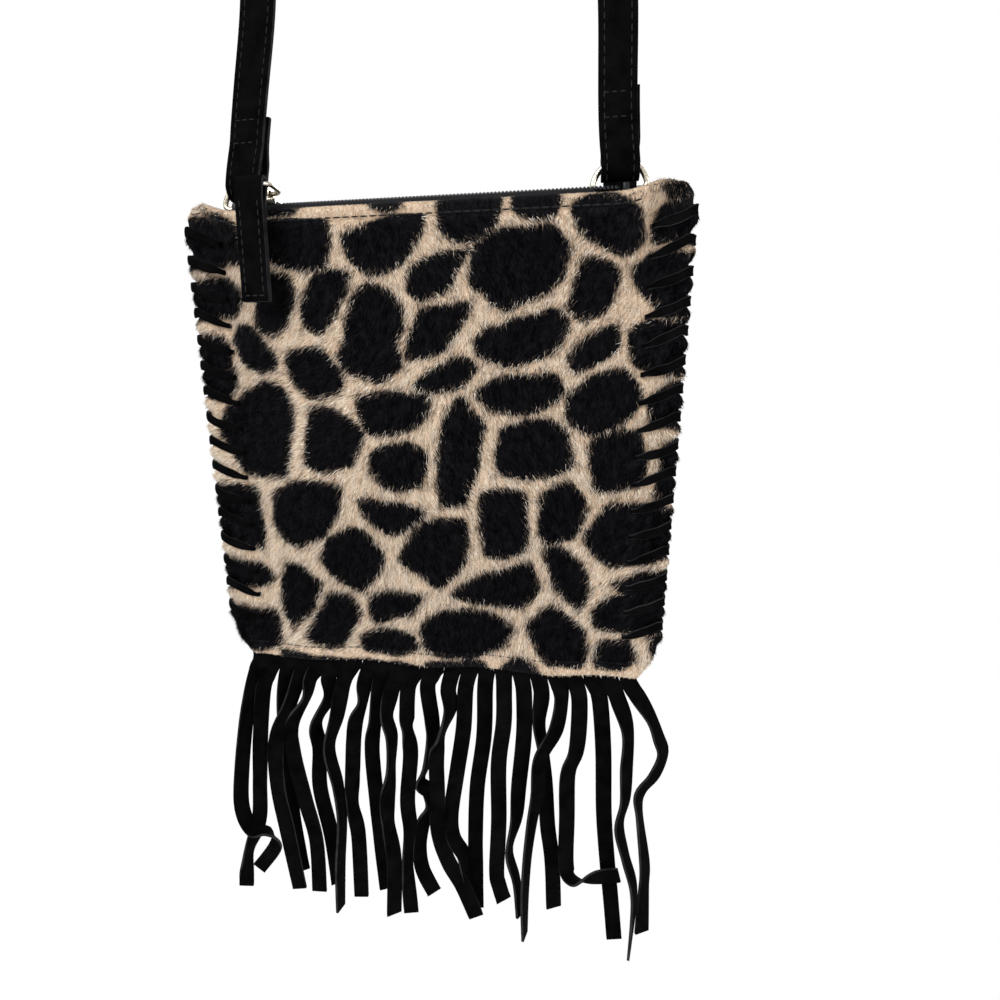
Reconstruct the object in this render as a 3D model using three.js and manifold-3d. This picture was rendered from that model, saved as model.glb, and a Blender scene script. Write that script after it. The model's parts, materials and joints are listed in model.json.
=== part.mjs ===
// Small flat crossbody pouch: printed plush panels laced together with suede thong,
// a top zip with a suede pull, a cut suede fringe along the bottom and a long strap on two D-rings.
// Millimetres, +Z up, front towards -Y, origin where the strap's bend rests on what holds it.
// The panels meet in the plane y = 0, straight below the rings, so the bag hangs level.
import * as THREE from 'three';
import { mergeVertices } from 'three/addons/utils/BufferGeometryUtils.js';
import Module from 'manifold-3d';

// Strap and the two rings it hangs the bag from
const strapDrop = 410;
const strapWidth = 12.7;
const strapThickness = 1.9;
const strapBendRadius = 27;
const strapFold = 28;
const loopRadius = 2.4;
const ringSpread = 67.5;
const ringRadius = 9.2;
const ringWire = 1.1;
const ringCorner = 1.8;
const pivotAboveBar = 7.4;
const tabWidth = 11;
const tabPly = 1;
const tabDepth = 6;
const tabY = 5;
const tabKnee = -2.6;
const clearance = 0.3;

// Body: panels, their hems and the plane where the two sides meet
const barAboveTop = 1.2;
const topHalfWidth = 93;
const bottomHalfWidth = 87;
const bagHeight = 175.5;
const topRound = 4;
const topRoundDepth = 8;
const bottomRound = 7;
const bottomRoundDepth = 18;
const panelThickness = 2.2;
const topGap = 9.6;
const bellyGap = 9.8;
const bottomGap = 0.95;
const sideGap = 0.2;
const laceMargin = 15;
const hemDepth = 11;
const frontHem = 1.6;
const frontDip = 3.4;
const backHem = 2.8;
const earLift = 3.6;
const earInner = 70;
const earOuter = 86;
const earDepth = 40;
const bellyDepth = 70;
const liningTop = 14.5;
const liningInset = 30;
const liningBottom = 150;
const liningLeast = 1.1;
const liningClear = 1.4;
const liningThickness = 0.8;

// Side lacing
const laceWidth = 4;
const laceThickness = 1.2;
const lacePitch = 9.8;
const laceTurns = 16;
const laceReach = 13.5;
const laceRise = 4.7;
const laceClearance = 0.55;
const lowestHole = 158.5;

// Zip with its slider and pull
const zipY = -4.9;
const coilHalf = 68;
const coilPitch = 2.1;
const coilHalfWidth = 1.8;
const coilTop = 1.4;
const coilValley = 0.8;
const coilBottom = -1;
const tapeThickness = 0.8;
const tapeDepth = 9.5;
const tapeHalf = 59;
const tapeTurn = 0.6;
const backTapeY = 5.2;
const sliderX = -57.4;
const sliderLength = 8.6;
const wingTop = 2.9;
const barHeight = 4.6;
const pullReach = 11;
const pullRise = 0.8;
const pullHalfWidth = 5.8;
const pullWire = 0.8;
const pullTabWidth = 9.6;
const pullTabDrop = 39;
const pullTabPly = 1.4;
const pullTabY = -17.8;

// Fringe cut from one sheet
const fringeHalfWidth = 80;
const fringeThickness = 1.2;
const fringeHeading = 11;
const fringeUncut = 2;
const cutWidth = 0.4;
const laneStep = 3;

// Each strand: length, sideways sway at a third, two thirds and the tip, then its turn there in degrees
const strands = [
  [106, -6, 2, -6, 15, 40, 20],
  [115, -10, -15, -20, 0, 25, 45],
  [111, -9, -8, -2, 10, 0, 10],
  [114, -9, -5, -1, 0, 15, 0],
  [111, -8, -7, -3, 45, 10, 20],
  [118, -8, -7, -6, 45, 45, 40],
  [114, -5, -5, -5, 0, 40, 0],
  [110, -6, -4, -1, 25, 10, 30],
  [117, -5, -5, -5, 40, 0, 20],
  [117, -4, -4, -4, 0, 35, 10],
  [110, -4, -7, -3, 40, 20, 0],
  [114, -4, -6, 8, 40, 10, 0],
  [112, -6, -7, -6, 0, 20, 10],
  [114, -3, -6, -5, 10, 0, 0],
  [105, -2, -2, -3, 0, 0, 40],
  [113, -1, -1, 2, 0, 30, 45],
  [107, 0, 1, 1, 20, 45, 30],
  [110, -6, -4, 0, 0, 10, 0],
  [104, -2, -1, 12, 0, 0, 20],
  [108, -2, -1, 1, 10, 20, 0],
  [123, -1, 1, 6, 0, 0, 10],
  [121, 1, 3, 6, 0, 40, 35],
  [115, 8, 5, 4, 35, 0, 20],
];

const wasm = await Module();
wasm.setup();
const point = (x, y, z) => new THREE.Vector3(x, y, z);
const upright = point(0, 0, 1);
const sideways = point(1, 0, 0);
const smooth = (value, low, high) => THREE.MathUtils.smoothstep(value, low, high);

const material = (color, roughness, metalness) =>
  new THREE.MeshStandardMaterial({ color, roughness, metalness });
const plush = () => material(0xe0ccb0, 0.95, 0);
const suede = () => material(0x151517, 0.95, 0);
const zipCloth = () => material(0x0f0f11, 0.8, 0);
const metal = () => material(0xcdc4b0, 0.3, 1);
const liningCloth = () => material(0x2b2829, 0.9, 0);

const mesh = (name, geometry, look) => {
  const made = new THREE.Mesh(geometry, look);
  made.name = name;
  return made;
};

// Closed body from rings of points that run round it; each end is closed across its two long sides
function loft(rings, closed = false) {
  const count = rings[0].length;
  const spans = closed ? rings.length : rings.length - 1;
  const index = [];
  for (let r = 0; r < spans; r++) {
    const a = r * count;
    const b = ((r + 1) % rings.length) * count;
    for (let k = 0; k < count; k++) {
      const n = (k + 1) % count;
      index.push(a + k, a + n, b + n, a + k, b + n, b + k);
    }
  }
  const end = (rings.length - 1) * count;
  for (let k = 0; k < count / 2 - 1 && !closed; k++) {
    const far = count - 1 - k;
    index.push(k, far, far - 1, k, far - 1, k + 1);
    index.push(end + k, end + far - 1, end + far, end + k, end + k + 1, end + far - 1);
  }
  const points = rings.flat();
  return facingOut(points, index);
}

function facingOut(points, index) {
  let volume = 0;
  for (let i = 0; i < index.length; i += 3) {
    const [a, b, c] = index.slice(i, i + 3).map((k) => points[k]);
    volume += a.dot(b.clone().cross(c));
  }
  const geometry = new THREE.BufferGeometry().setFromPoints(points);
  geometry.setIndex(volume > 0 ? index : index.reverse());
  return geometry;
}

// Flat band through stations that each have a centre and an axis across the band
function ribbon(stations, width, thickness) {
  const rings = stations.map((station, i) => {
    const before = stations[Math.max(i - 1, 0)].centre;
    const after = stations[Math.min(i + 1, stations.length - 1)].centre;
    const into = station.centre.clone().sub(before).normalize();
    const out = after.clone().sub(station.centre).normalize();
    const along = into.clone().add(out).normalize();
    const across = station.across.clone().setLength(width / 2);
    const mitre = 1 / Math.max(along.dot(into), along.dot(out), 0.6);
    const face = along.clone().cross(across).setLength((thickness / 2) * mitre);
    const corner = (w, f) => station.centre.clone().addScaledVector(across, w).addScaledVector(face, f);
    return [corner(-1, 1), corner(1, 1), corner(1, -1), corner(-1, -1)];
  });
  return loft(rings);
}

// Round wire along a closed line that lies in a plane
function wireLoop(line, radius, sides, planeNormal) {
  const rings = line.map((centre, i) => {
    const before = line[(i + line.length - 1) % line.length];
    const after = line[(i + 1) % line.length];
    const into = centre.clone().sub(before).normalize();
    const along = into.clone().add(after.clone().sub(centre).normalize()).normalize();
    const outward = along.clone().cross(planeNormal);
    const mitre = 1 / along.dot(into);
    return Array.from({ length: sides }, (_, k) => {
      const angle = (k / sides) * 2 * Math.PI;
      return centre
        .clone()
        .addScaledVector(outward, radius * mitre * Math.cos(angle))
        .addScaledVector(planeNormal, radius * Math.sin(angle));
    });
  });
  return loft(rings, true);
}

function toSolid(geometry) {
  const bare = geometry.clone();
  bare.deleteAttribute('normal');
  bare.deleteAttribute('uv');
  const merged = mergeVertices(bare, 1e-4);
  const vertProperties = new Float32Array(merged.attributes.position.array);
  const triVerts = new Uint32Array(merged.index.array);
  return new wasm.Manifold(new wasm.Mesh({ numProp: 3, vertProperties, triVerts }));
}

function toGeometry(solid) {
  const { vertProperties, triVerts } = solid.getMesh();
  const geometry = new THREE.BufferGeometry();
  geometry.setAttribute('position', new THREE.BufferAttribute(new Float32Array(vertProperties), 3));
  geometry.setIndex(new THREE.BufferAttribute(new Uint32Array(triVerts), 1));
  return geometry;
}

const joined = (geometries) =>
  toGeometry(geometries.map(toSolid).reduce((whole, next) => whole.add(next)));

const cutFrom = (geometry, cutters) =>
  toGeometry(cutters.map(toSolid).reduce((whole, next) => whole.subtract(next), toSolid(geometry)));

const boxAt = (sx, sy, sz, x, y, z) => new THREE.BoxGeometry(sx, sy, sz).translate(x, y, z);

// Profile drawn in the YZ plane and drawn out along X, centred on x
function alongX(shape, length, x, curveSegments = 8) {
  const geometry = new THREE.ExtrudeGeometry(shape, { depth: length, bevelEnabled: false, curveSegments });
  geometry.rotateX(Math.PI / 2).rotateZ(Math.PI / 2);
  return geometry.translate(x - length / 2, 0, 0);
}

// Outline of the body, by depth below the top edge
function halfWidthAt(depth) {
  const straight = THREE.MathUtils.lerp(topHalfWidth, bottomHalfWidth, depth / bagHeight);
  const aboveRound = Math.max(0, 1 - depth / topRoundDepth);
  const belowRound = Math.max(0, 1 - (bagHeight - depth) / bottomRoundDepth);
  return straight - topRound * aboveRound ** 2 - bottomRound * belowRound ** 2;
}

// How far each side has swelled from where the panels are pinched together, 0 to 1
function swellAt(x, depth) {
  const margin = THREE.MathUtils.lerp(2, laceMargin, Math.min(depth / 8.4, 1));
  const run = THREE.MathUtils.lerp(11, 34, smooth(depth, 12, 60));
  const inside = halfWidthAt(depth) - Math.abs(x) - margin;
  return Math.sin((Math.PI / 2) * THREE.MathUtils.clamp(inside / run, 0, 1));
}

// Distance from the meeting plane to a panel's inner face
function gapAt(x, depth) {
  const seam = bagHeight - fringeHeading;
  const full = THREE.MathUtils.lerp(topGap, bellyGap, smooth(depth, 0, bellyDepth));
  const lower = THREE.MathUtils.clamp((depth - bellyDepth) / (seam - 1 - bellyDepth), 0, 1);
  const closing = Math.cos((Math.PI / 2) * lower);
  const pinched = THREE.MathUtils.lerp(sideGap, bottomGap, smooth(depth, seam - 6, seam));
  return pinched + (full - pinched) * closing * swellAt(x, depth);
}

const earAt = (x, depth) =>
  earLift * smooth(Math.abs(x), earInner, earOuter) * (1 - smooth(depth, 0, earDepth));

// The front's top edge lies lower than the zip between the ears
const dipAt = (x, depth, dip) =>
  dip * (1 - smooth(Math.abs(x), earInner - 6, earOuter)) * (1 - smooth(depth, 0, earDepth));

const hemSteps = [0, 1.2, 4.6, 5.6, 6.6, hemDepth - 0.4, hemDepth + 0.4];
const panelDepths = [...hemSteps, 16, 26, 40, 58, 78, 98, 118, 136, 150, 161, 168, 174, bagHeight];
const panelInsets = [0, 8, laceMargin, 19, 25, 35, 52];

function acrossAt(depth, insets) {
  const edge = halfWidthAt(depth);
  const left = insets.map((inset) => inset - edge);
  return [...left, 0, ...left.map((x) => -x).reverse()];
}

// Soft edge at the top, then the puffed hem and the groove of its stitching
function puffAt(depth) {
  if (depth === 0) return -0.9;
  if (depth < hemSteps[3]) return 0.4;
  return depth === hemSteps[3] ? -0.6 : 0;
}

function panel(side, hem, dip) {
  const rings = panelDepths.map((depth) => {
    const line = acrossAt(depth, panelInsets);
    const at = (x, reach) => point(x, side * reach, earAt(x, depth) - dipAt(x, depth, dip) - depth);
    const turned = depth < hemDepth ? hem : 0;
    const inner = line.map((x) => at(x, gapAt(x, depth) - turned * swellAt(x, depth)));
    const outer = line.map((x) =>
      at(x, gapAt(x, depth) + panelThickness + puffAt(depth) * swellAt(x, depth)),
    );
    return [...inner, ...outer.reverse()];
  });
  return loft(rings);
}

const holeDepths = Array.from({ length: laceTurns }, (_, i) => lowestHole - i * lacePitch);
const holeX = (depth) => halfWidthAt(depth) - laceReach;

function laceSlots() {
  const slot = (x, depth) => boxAt(laceThickness + 0.8, 12, laceWidth + 0.8, x, 0, -depth);
  return holeDepths.flatMap((depth) => [slot(holeX(depth), depth), slot(-holeX(depth), depth)]);
}

const tabRooms = () =>
  [-1, 1].map((side) =>
    boxAt(tabWidth + 0.8, 2 * tabPly + 1, 2 * tabDepth + 1, side * ringSpread, tabY, 0),
  );

// Whip lacing that climbs the side: out over the front, round the edge and back down to the next hole
function lacing(side) {
  const reach = sideGap + panelThickness + laceClearance + laceThickness / 2;
  const stations = [];
  const add = (x, y, z) => stations.push({ centre: point(side * x, y, z), across: upright });
  holeDepths.forEach((depth) => {
    const edge = halfWidthAt(depth - laceRise);
    add(holeX(depth), reach, -depth);
    add(holeX(depth), -reach, -depth);
    add(edge + 0.1, -reach, laceRise - depth);
    add(edge + 1.5, 1.5 - reach, laceRise + 0.3 - depth);
    add(edge + 1.5, reach - 1.5, laceRise + 0.9 - depth);
    add(edge + 0.1, reach, laceRise + 1.2 - depth);
  });
  const topHole = holeDepths[laceTurns - 1];
  add(holeX(topHole) + 9, reach, laceRise + 2 - topHole);
  return ribbon(stations, laceWidth, laceThickness);
}

// Cloth pouch inside the panels, open at the top below the zip tapes
function lining() {
  const depths = [liningTop, 30, 58, 98, 128, liningBottom];
  const pouch = (shrink, stations) => {
    const rings = stations.map((depth) => {
      const reachedDepth = Math.max(depth, liningTop);
      const line = acrossAt(reachedDepth, [liningInset + shrink, 36, 48, 64]);
      const reachAt = (x) => Math.max(gapAt(x, reachedDepth) - liningClear, liningLeast) - shrink;
      const at = (x, side) => point(x, side * reachAt(x), -depth);
      return [...line.map((x) => at(x, -1)), ...line.reverse().map((x) => at(x, 1))];
    });
    return loft(rings);
  };
  const insideDepths = [liningTop - 2, ...depths.slice(0, -1), liningBottom - liningThickness];
  return cutFrom(pouch(0, depths), [pouch(liningThickness, insideDepths)]);
}

// Sheet cut into strands below the seam; its strands sway, turn and lie in three layers
function fringe() {
  const pitch = (2 * fringeHalfWidth) / strands.length;
  const heading = boxAt(
    2 * fringeHalfWidth,
    fringeThickness,
    fringeHeading + fringeUncut,
    0,
    0,
    (fringeHeading - fringeUncut) / 2 - bagHeight,
  );
  const strand = ([length, ...bends], i) => {
    const rootX = (i + 0.5) * pitch - fringeHalfWidth;
    const sway = new THREE.CatmullRomCurve3([
      point(0, 0, 0),
      point(bends[0], bends[3], 0),
      point(bends[1], bends[4], 0),
      point(bends[2], bends[5], 0),
    ]);
    const layer = ((i % 3) - 1) * laneStep;
    const steps = 8;
    const stations = Array.from({ length: steps + 1 }, (_, k) => {
      const t = k / steps;
      const { x, y } = sway.getPoint(t);
      const turn = THREE.MathUtils.degToRad(y) * (i % 2 ? 1 : -1);
      const down = bagHeight + fringeUncut - 1 + t * length;
      const centre = point(rootX + x, layer * smooth(t, 0, 0.3), -down);
      return { centre, across: point(Math.cos(turn), Math.sin(turn), 0) };
    });
    return ribbon(stations, pitch - cutWidth, fringeThickness);
  };
  return joined([heading, ...strands.map(strand)]);
}

// Interlocked coil with slanted ridges that meet along the middle
function zipCoil() {
  const count = Math.round((4 * coilHalf) / coilPitch);
  const rings = Array.from({ length: count + 1 }, (_, i) => {
    const x = -coilHalf + 0.5 + (i * (2 * coilHalf - 1)) / count;
    const top = i % 2 ? coilTop : coilValley;
    const rib = (y, z, shift) => point(x + shift, zipY + y, z);
    return [
      rib(-coilHalfWidth, top - 0.5, -0.4),
      rib(0, top, 0.4),
      rib(coilHalfWidth, top - 0.5, -0.4),
      rib(coilHalfWidth, coilBottom + 0.5, -0.4),
      rib(0, coilBottom, 0.4),
      rib(-coilHalfWidth, coilBottom + 0.5, -0.4),
    ];
  });
  return loft(rings);
}

// Woven tape that leaves the coil and turns down behind its panel's hem
function zipTape(start, corner) {
  const way = Math.sign(corner - start);
  const half = tapeThickness / 2;
  const shape = new THREE.Shape();
  shape.moveTo(start, half);
  shape.lineTo(corner - way * tapeTurn, half);
  shape.quadraticCurveTo(corner, half, corner, half - tapeTurn);
  shape.lineTo(corner, -tapeDepth);
  shape.lineTo(corner - way * tapeThickness, -tapeDepth);
  shape.lineTo(corner - way * tapeThickness, -half);
  shape.lineTo(start, -half);
  return alongX(shape, 2 * tapeHalf, 0, 3);
}

// Upper wing with its side flanges, and the bridge that the pull turns in
function zipSlider() {
  const half = coilHalfWidth + 1.2;
  const channel = coilHalfWidth + clearance;
  const flangeBottom = 0.75;
  const corner = 0.8;
  const wing = new THREE.Shape();
  wing.moveTo(-half, flangeBottom);
  wing.lineTo(-half, wingTop - corner);
  wing.quadraticCurveTo(-half, wingTop, -half + corner, wingTop);
  wing.lineTo(half - corner, wingTop);
  wing.quadraticCurveTo(half, wingTop, half, wingTop - corner);
  wing.lineTo(half, flangeBottom);
  wing.lineTo(channel, flangeBottom);
  wing.lineTo(channel, coilTop + clearance);
  wing.lineTo(-channel, coilTop + clearance);
  wing.lineTo(-channel, flangeBottom);
  const bridge = new THREE.Shape();
  const bridgeHalf = 2.9;
  const bridgeInside = 1.8;
  const bridgeTop = barHeight + pullWire + 1.5;
  bridge.moveTo(-bridgeHalf, wingTop - 0.4);
  bridge.lineTo(-bridgeHalf, bridgeTop - 1.4);
  bridge.quadraticCurveTo(-bridgeHalf, bridgeTop, -bridgeHalf + 1.4, bridgeTop);
  bridge.lineTo(bridgeHalf - 1.4, bridgeTop);
  bridge.quadraticCurveTo(bridgeHalf, bridgeTop, bridgeHalf, bridgeTop - 1.4);
  bridge.lineTo(bridgeHalf, wingTop - 0.4);
  bridge.lineTo(bridgeInside, wingTop - 0.4);
  bridge.lineTo(bridgeInside, bridgeTop - 1.2);
  bridge.lineTo(-bridgeInside, bridgeTop - 1.2);
  bridge.lineTo(-bridgeInside, wingTop - 0.4);
  const nose = boxAt(4, 3, 4, 0, 0, 0).rotateZ(Math.PI / 4);
  const noses = [-1, 1].map((side) =>
    nose.clone().translate(-sliderLength / 2 - 0.9, side * (half + 1.1), 2),
  );
  const body = joined([alongX(wing, sliderLength, 0, 3), alongX(bridge, 3, 0, 4)]);
  return cutFrom(body, noses);
}

const sliderFoot = () =>
  boxAt(sliderLength, 2 * coilHalfWidth - 0.4, 1.2, 0, 0, coilBottom - 0.9);

const zipStop = (x) => {
  const bottom = coilBottom - 0.4;
  const height = coilTop + 0.4 - bottom;
  return boxAt(2, 2 * coilHalfWidth, height, x, zipY, bottom + height / 2);
};

// Wire link between the slider's bridge and the suede; its own hinge line is at the origin
function pullLink() {
  const corner = 0.9;
  const flat = [
    [pullHalfWidth - corner, 0],
    [pullHalfWidth, corner],
    [pullHalfWidth, pullReach - corner],
    [pullHalfWidth - corner, pullReach],
  ];
  const mirrored = flat.map(([x, reach]) => [-x, reach]).reverse();
  const line = [...flat, ...mirrored].map(([x, reach]) =>
    point(x, -reach, (reach / pullReach) * pullRise),
  );
  const normal = point(0, pullRise, pullReach).normalize();
  return wireLoop(line, pullWire, 8, normal);
}

// Suede strip folded over the link's outer bar, its two plies hanging down the front
function pullTab() {
  const barY = -pullReach;
  const wrap = pullWire + clearance + pullTabPly / 2;
  const hangY = pullTabY - zipY;
  const ply = pullTabPly / 2 + 0.2;
  const stations = [];
  const add = (y, z) => stations.push({ centre: point(0, y, z), across: sideways });
  const bottom = -barHeight - pullTabDrop + 5;
  add(hangY - ply, bottom);
  add(hangY - ply, -barHeight - 14);
  add(hangY - ply, -barHeight - 3);
  for (let degrees = 190; degrees >= -10; degrees -= 40) {
    const angle = THREE.MathUtils.degToRad(degrees);
    add(barY + wrap * Math.cos(angle), pullRise + wrap * Math.sin(angle));
  }
  add(barY + 0.4, pullRise - 3.6);
  add(hangY + ply, -barHeight - 4.5);
  add(hangY + ply, -barHeight - 14);
  add(hangY + ply, bottom);
  return ribbon(stations, pullTabWidth, pullTabPly);
}

// D-ring with its straight bar at the origin
function dRing() {
  const line = [];
  const bend = (cx, cz, radius, from, to, steps) => {
    for (let k = 0; k <= steps; k++) {
      const angle = THREE.MathUtils.degToRad(from + ((to - from) * k) / steps);
      line.push(point(cx + radius * Math.cos(angle), 0, cz + radius * Math.sin(angle)));
    }
  };
  const side = Math.sqrt(ringRadius ** 2 - ringCorner ** 2);
  const rise = THREE.MathUtils.radToDeg(Math.asin(ringCorner / ringRadius));
  bend(0, 0, ringRadius, rise, 180 - rise, 16);
  bend(-side + ringCorner, ringCorner, ringCorner, 195, 270, 3);
  bend(side - ringCorner, ringCorner, ringCorner, 270, 345, 3);
  return wireLoop(line, ringWire, 8, point(0, 1, 0));
}

// Suede tab folded round the ring's bar; its two plies lean back and go down into the back hem
function ringTab() {
  const wrap = ringWire + clearance + tabPly / 2;
  const ply = tabPly / 2 + 0.1;
  const knee = tabKnee - barAboveTop;
  const lean = Math.atan2(-knee, tabY);
  const stations = [];
  const add = (y, z) => stations.push({ centre: point(0, y, z), across: sideways });
  add(tabY + ply, -barAboveTop - tabDepth);
  add(tabY + ply, knee);
  const steps = 6;
  for (let k = 0; k <= steps; k++) {
    const angle = Math.PI / 2 - lean + (Math.PI * k) / steps;
    add(wrap * Math.cos(angle), wrap * Math.sin(angle));
  }
  add(tabY - ply, knee - ply);
  add(tabY - ply, -barAboveTop - tabDepth);
  return ribbon(stations, tabWidth, tabPly);
}

// Strap: folded through one ring, leaning in with a quarter turn, over the bend and down the other side
function strap() {
  const ply = strapThickness / 2 + 0.2;
  const round = loopRadius + strapThickness / 2;
  const bendRadius = strapBendRadius + strapThickness / 2;
  const lean = (ringSpread - bendRadius) / (strapDrop - strapBendRadius);
  const half = [];
  const add = (x, y, z, across) => half.push({ centre: point(x, y, z), across });
  const fold = (y, above) => {
    const across = point(1, 0, lean * smooth(above, 2, 14));
    add(ringSpread - lean * Math.max(above, 0), y, above - strapDrop, across);
  };
  fold(ply, strapFold);
  fold(ply, 14);
  fold(ply + 0.9, 9);
  fold(round - 0.4, 4);
  for (let degrees = 0; degrees <= 180; degrees += 30) {
    const angle = THREE.MathUtils.degToRad(degrees);
    fold(round * Math.cos(angle), -round * Math.sin(angle));
  }
  fold(0.4 - round, 4);
  fold(-ply - 0.9, 9);
  fold(-ply, 14);
  fold(-ply, strapFold);
  const runSteps = 12;
  const runStart = strapFold + 8;
  for (let k = 0; k <= runSteps; k++) {
    const t = k / runSteps;
    const turn = (Math.PI / 2) * smooth(t, 0.1, 0.95);
    const above = THREE.MathUtils.lerp(runStart, strapDrop - strapBendRadius, t);
    const across = point(Math.cos(turn), -Math.sin(turn), lean * Math.cos(turn));
    add(ringSpread - lean * above, -ply * (1 - smooth(t, 0, 0.1)), above - strapDrop, across);
  }
  for (let degrees = 15; degrees < 90; degrees += 15) {
    const angle = THREE.MathUtils.degToRad(degrees);
    const z = bendRadius * Math.sin(angle) - strapBendRadius;
    add(bendRadius * Math.cos(angle), 0, z, point(0, -1, 0));
  }
  const top = { centre: point(0, 0, strapThickness / 2), across: point(0, -1, 0) };
  const mirrored = ({ x, y, z }) => point(-x, y, z);
  const other = half.map(({ centre, across }) => ({ centre: mirrored(centre), across: mirrored(across) }));
  return ribbon([...half, top, ...other.reverse()], strapWidth, strapThickness);
}

const barZ = -strapDrop - pivotAboveBar;

const bag = new THREE.Group();
bag.position.z = barZ - barAboveTop;
const slots = laceSlots();
bag.add(mesh('front_panel', cutFrom(panel(-1, frontHem, frontDip), slots), plush()));
bag.add(mesh('back_panel', cutFrom(panel(1, backHem, 0), [...slots, ...tabRooms()]), plush()));
bag.add(mesh('lining', lining(), liningCloth()));
bag.add(mesh('left_lacing', lacing(-1), suede()));
bag.add(mesh('right_lacing', lacing(1), suede()));
bag.add(mesh('fringe', fringe(), suede()));
bag.add(mesh('zip_coil', zipCoil(), zipCloth()));
const coilEdge = coilHalfWidth + clearance;
bag.add(mesh('zip_tape_front', zipTape(zipY - coilEdge, frontHem + clearance - topGap), zipCloth()));
bag.add(mesh('zip_tape_back', zipTape(zipY + coilEdge, backTapeY), zipCloth()));
bag.add(mesh('zip_stop_left', zipStop(-coilHalf - 1.4), metal()));
bag.add(mesh('zip_stop_right', zipStop(coilHalf + 1.4), metal()));

const slider = new THREE.Group();
slider.position.set(sliderX, zipY, 0);
slider.add(mesh('zip_slider', zipSlider(), metal()));
slider.add(mesh('zip_slider_foot', sliderFoot(), metal()));
const pull = new THREE.Group();
pull.position.z = barHeight;
pull.add(mesh('pull_link', pullLink(), metal()));
pull.add(mesh('pull_tab', pullTab(), suede()));
slider.add(pull);
bag.add(slider);

const pouch = new THREE.Group();
pouch.add(bag);
for (const [name, side] of [['left', -1], ['right', 1]]) {
  const ring = mesh(`${name}_ring`, dRing(), metal());
  ring.position.set(side * ringSpread, 0, barZ);
  const tab = mesh(`${name}_ring_tab`, ringTab(), suede());
  tab.position.copy(ring.position);
  pouch.add(ring, tab);
}
pouch.add(mesh('shoulder_strap', strap(), suede()));

export default pouch;
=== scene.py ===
import json
import math
import bmesh
import bpy
import numpy as np
from mathutils import Matrix, Vector

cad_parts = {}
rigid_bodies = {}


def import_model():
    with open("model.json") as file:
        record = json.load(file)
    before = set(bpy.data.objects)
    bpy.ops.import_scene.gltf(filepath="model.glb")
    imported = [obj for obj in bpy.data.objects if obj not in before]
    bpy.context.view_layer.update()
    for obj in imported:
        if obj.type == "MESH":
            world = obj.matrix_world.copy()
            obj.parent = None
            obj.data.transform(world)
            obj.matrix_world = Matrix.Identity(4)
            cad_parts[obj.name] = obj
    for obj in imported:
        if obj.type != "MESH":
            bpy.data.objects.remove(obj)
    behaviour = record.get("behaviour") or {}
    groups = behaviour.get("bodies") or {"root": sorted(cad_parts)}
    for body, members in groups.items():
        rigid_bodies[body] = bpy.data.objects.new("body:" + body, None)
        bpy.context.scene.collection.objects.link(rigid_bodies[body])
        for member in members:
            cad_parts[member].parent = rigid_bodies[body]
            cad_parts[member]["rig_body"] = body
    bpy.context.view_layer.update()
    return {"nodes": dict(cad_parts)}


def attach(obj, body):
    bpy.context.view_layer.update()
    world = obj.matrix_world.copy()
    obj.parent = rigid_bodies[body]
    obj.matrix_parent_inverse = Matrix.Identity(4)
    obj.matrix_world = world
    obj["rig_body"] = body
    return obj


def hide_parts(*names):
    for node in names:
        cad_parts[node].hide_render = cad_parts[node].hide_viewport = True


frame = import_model()
nodes = frame["nodes"]
mm = 0.001
dice = np.random.default_rng(12)


def lerp(a, b, t):
    return a + (b - a) * t


def smooth(value, low, high):
    t = np.clip((value - low) / (high - low), 0, 1)
    return t * t * (3 - 2 * t)


def handOf(side):
    return "left" if side < 0 else "right"


# materials: a wire carries a socket, and sums on wires add the nodes
class Wire:
    def __init__(self, tree, socket):
        self.tree = tree
        self.socket = socket

    def node(self, kind, settings=None, values=None, out=0):
        made = self.tree.nodes.new(kind)
        for key, value in (settings or {}).items():
            if key == "stops":
                ramp = made.color_ramp.elements
                while len(ramp) < len(value):
                    ramp.new(0.5)
                for stop, (place, color) in zip(ramp, value):
                    stop.position = place
                    stop.color = (*color, 1)
            else:
                setattr(made, key, value)
        for key, value in (values or {}).items():
            if isinstance(value, Wire):
                self.tree.links.new(value.socket, made.inputs[key])
            else:
                made.inputs[key].default_value = value
        return Wire(self.tree, made.outputs[out])

    def sum(self, operation, a, b):
        return self.node("ShaderNodeMath", {"operation": operation}, {0: a, 1: b})

    def __add__(self, other):
        return self.sum("ADD", self, other)

    def __mul__(self, other):
        return self.sum("MULTIPLY", self, other)

    def __sub__(self, other):
        return self.sum("SUBTRACT", self, other)

    def __rsub__(self, other):
        return self.sum("SUBTRACT", other, self)

    __radd__ = __add__
    __rmul__ = __mul__

    def noise(self, scale, detail=3, stretch=(1, 1, 1)):
        turned = self.node("ShaderNodeMapping", {}, {"Vector": self, "Scale": stretch})
        values = {"Vector": turned, "Scale": scale, "Detail": detail}
        return self.node("ShaderNodeTexNoise", {}, values, "Fac")

    def step(self, low, high):
        settings = {"interpolation_type": "SMOOTHSTEP"}
        values = {"Value": self, "From Min": low, "From Max": high}
        return self.node("ShaderNodeMapRange", settings, values)

    def ramp(self, *stops):
        return self.node("ShaderNodeValToRGB", {"stops": stops}, {"Fac": self})

    def mix(self, a, b):
        return self.node("ShaderNodeMix", {"data_type": "RGBA"}, {0: self, 6: a, 7: b}, 2)

    def bump(self, strength, distance):
        values = {"Height": self, "Strength": strength, "Distance": distance}
        return self.node("ShaderNodeBump", {}, values)


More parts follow.
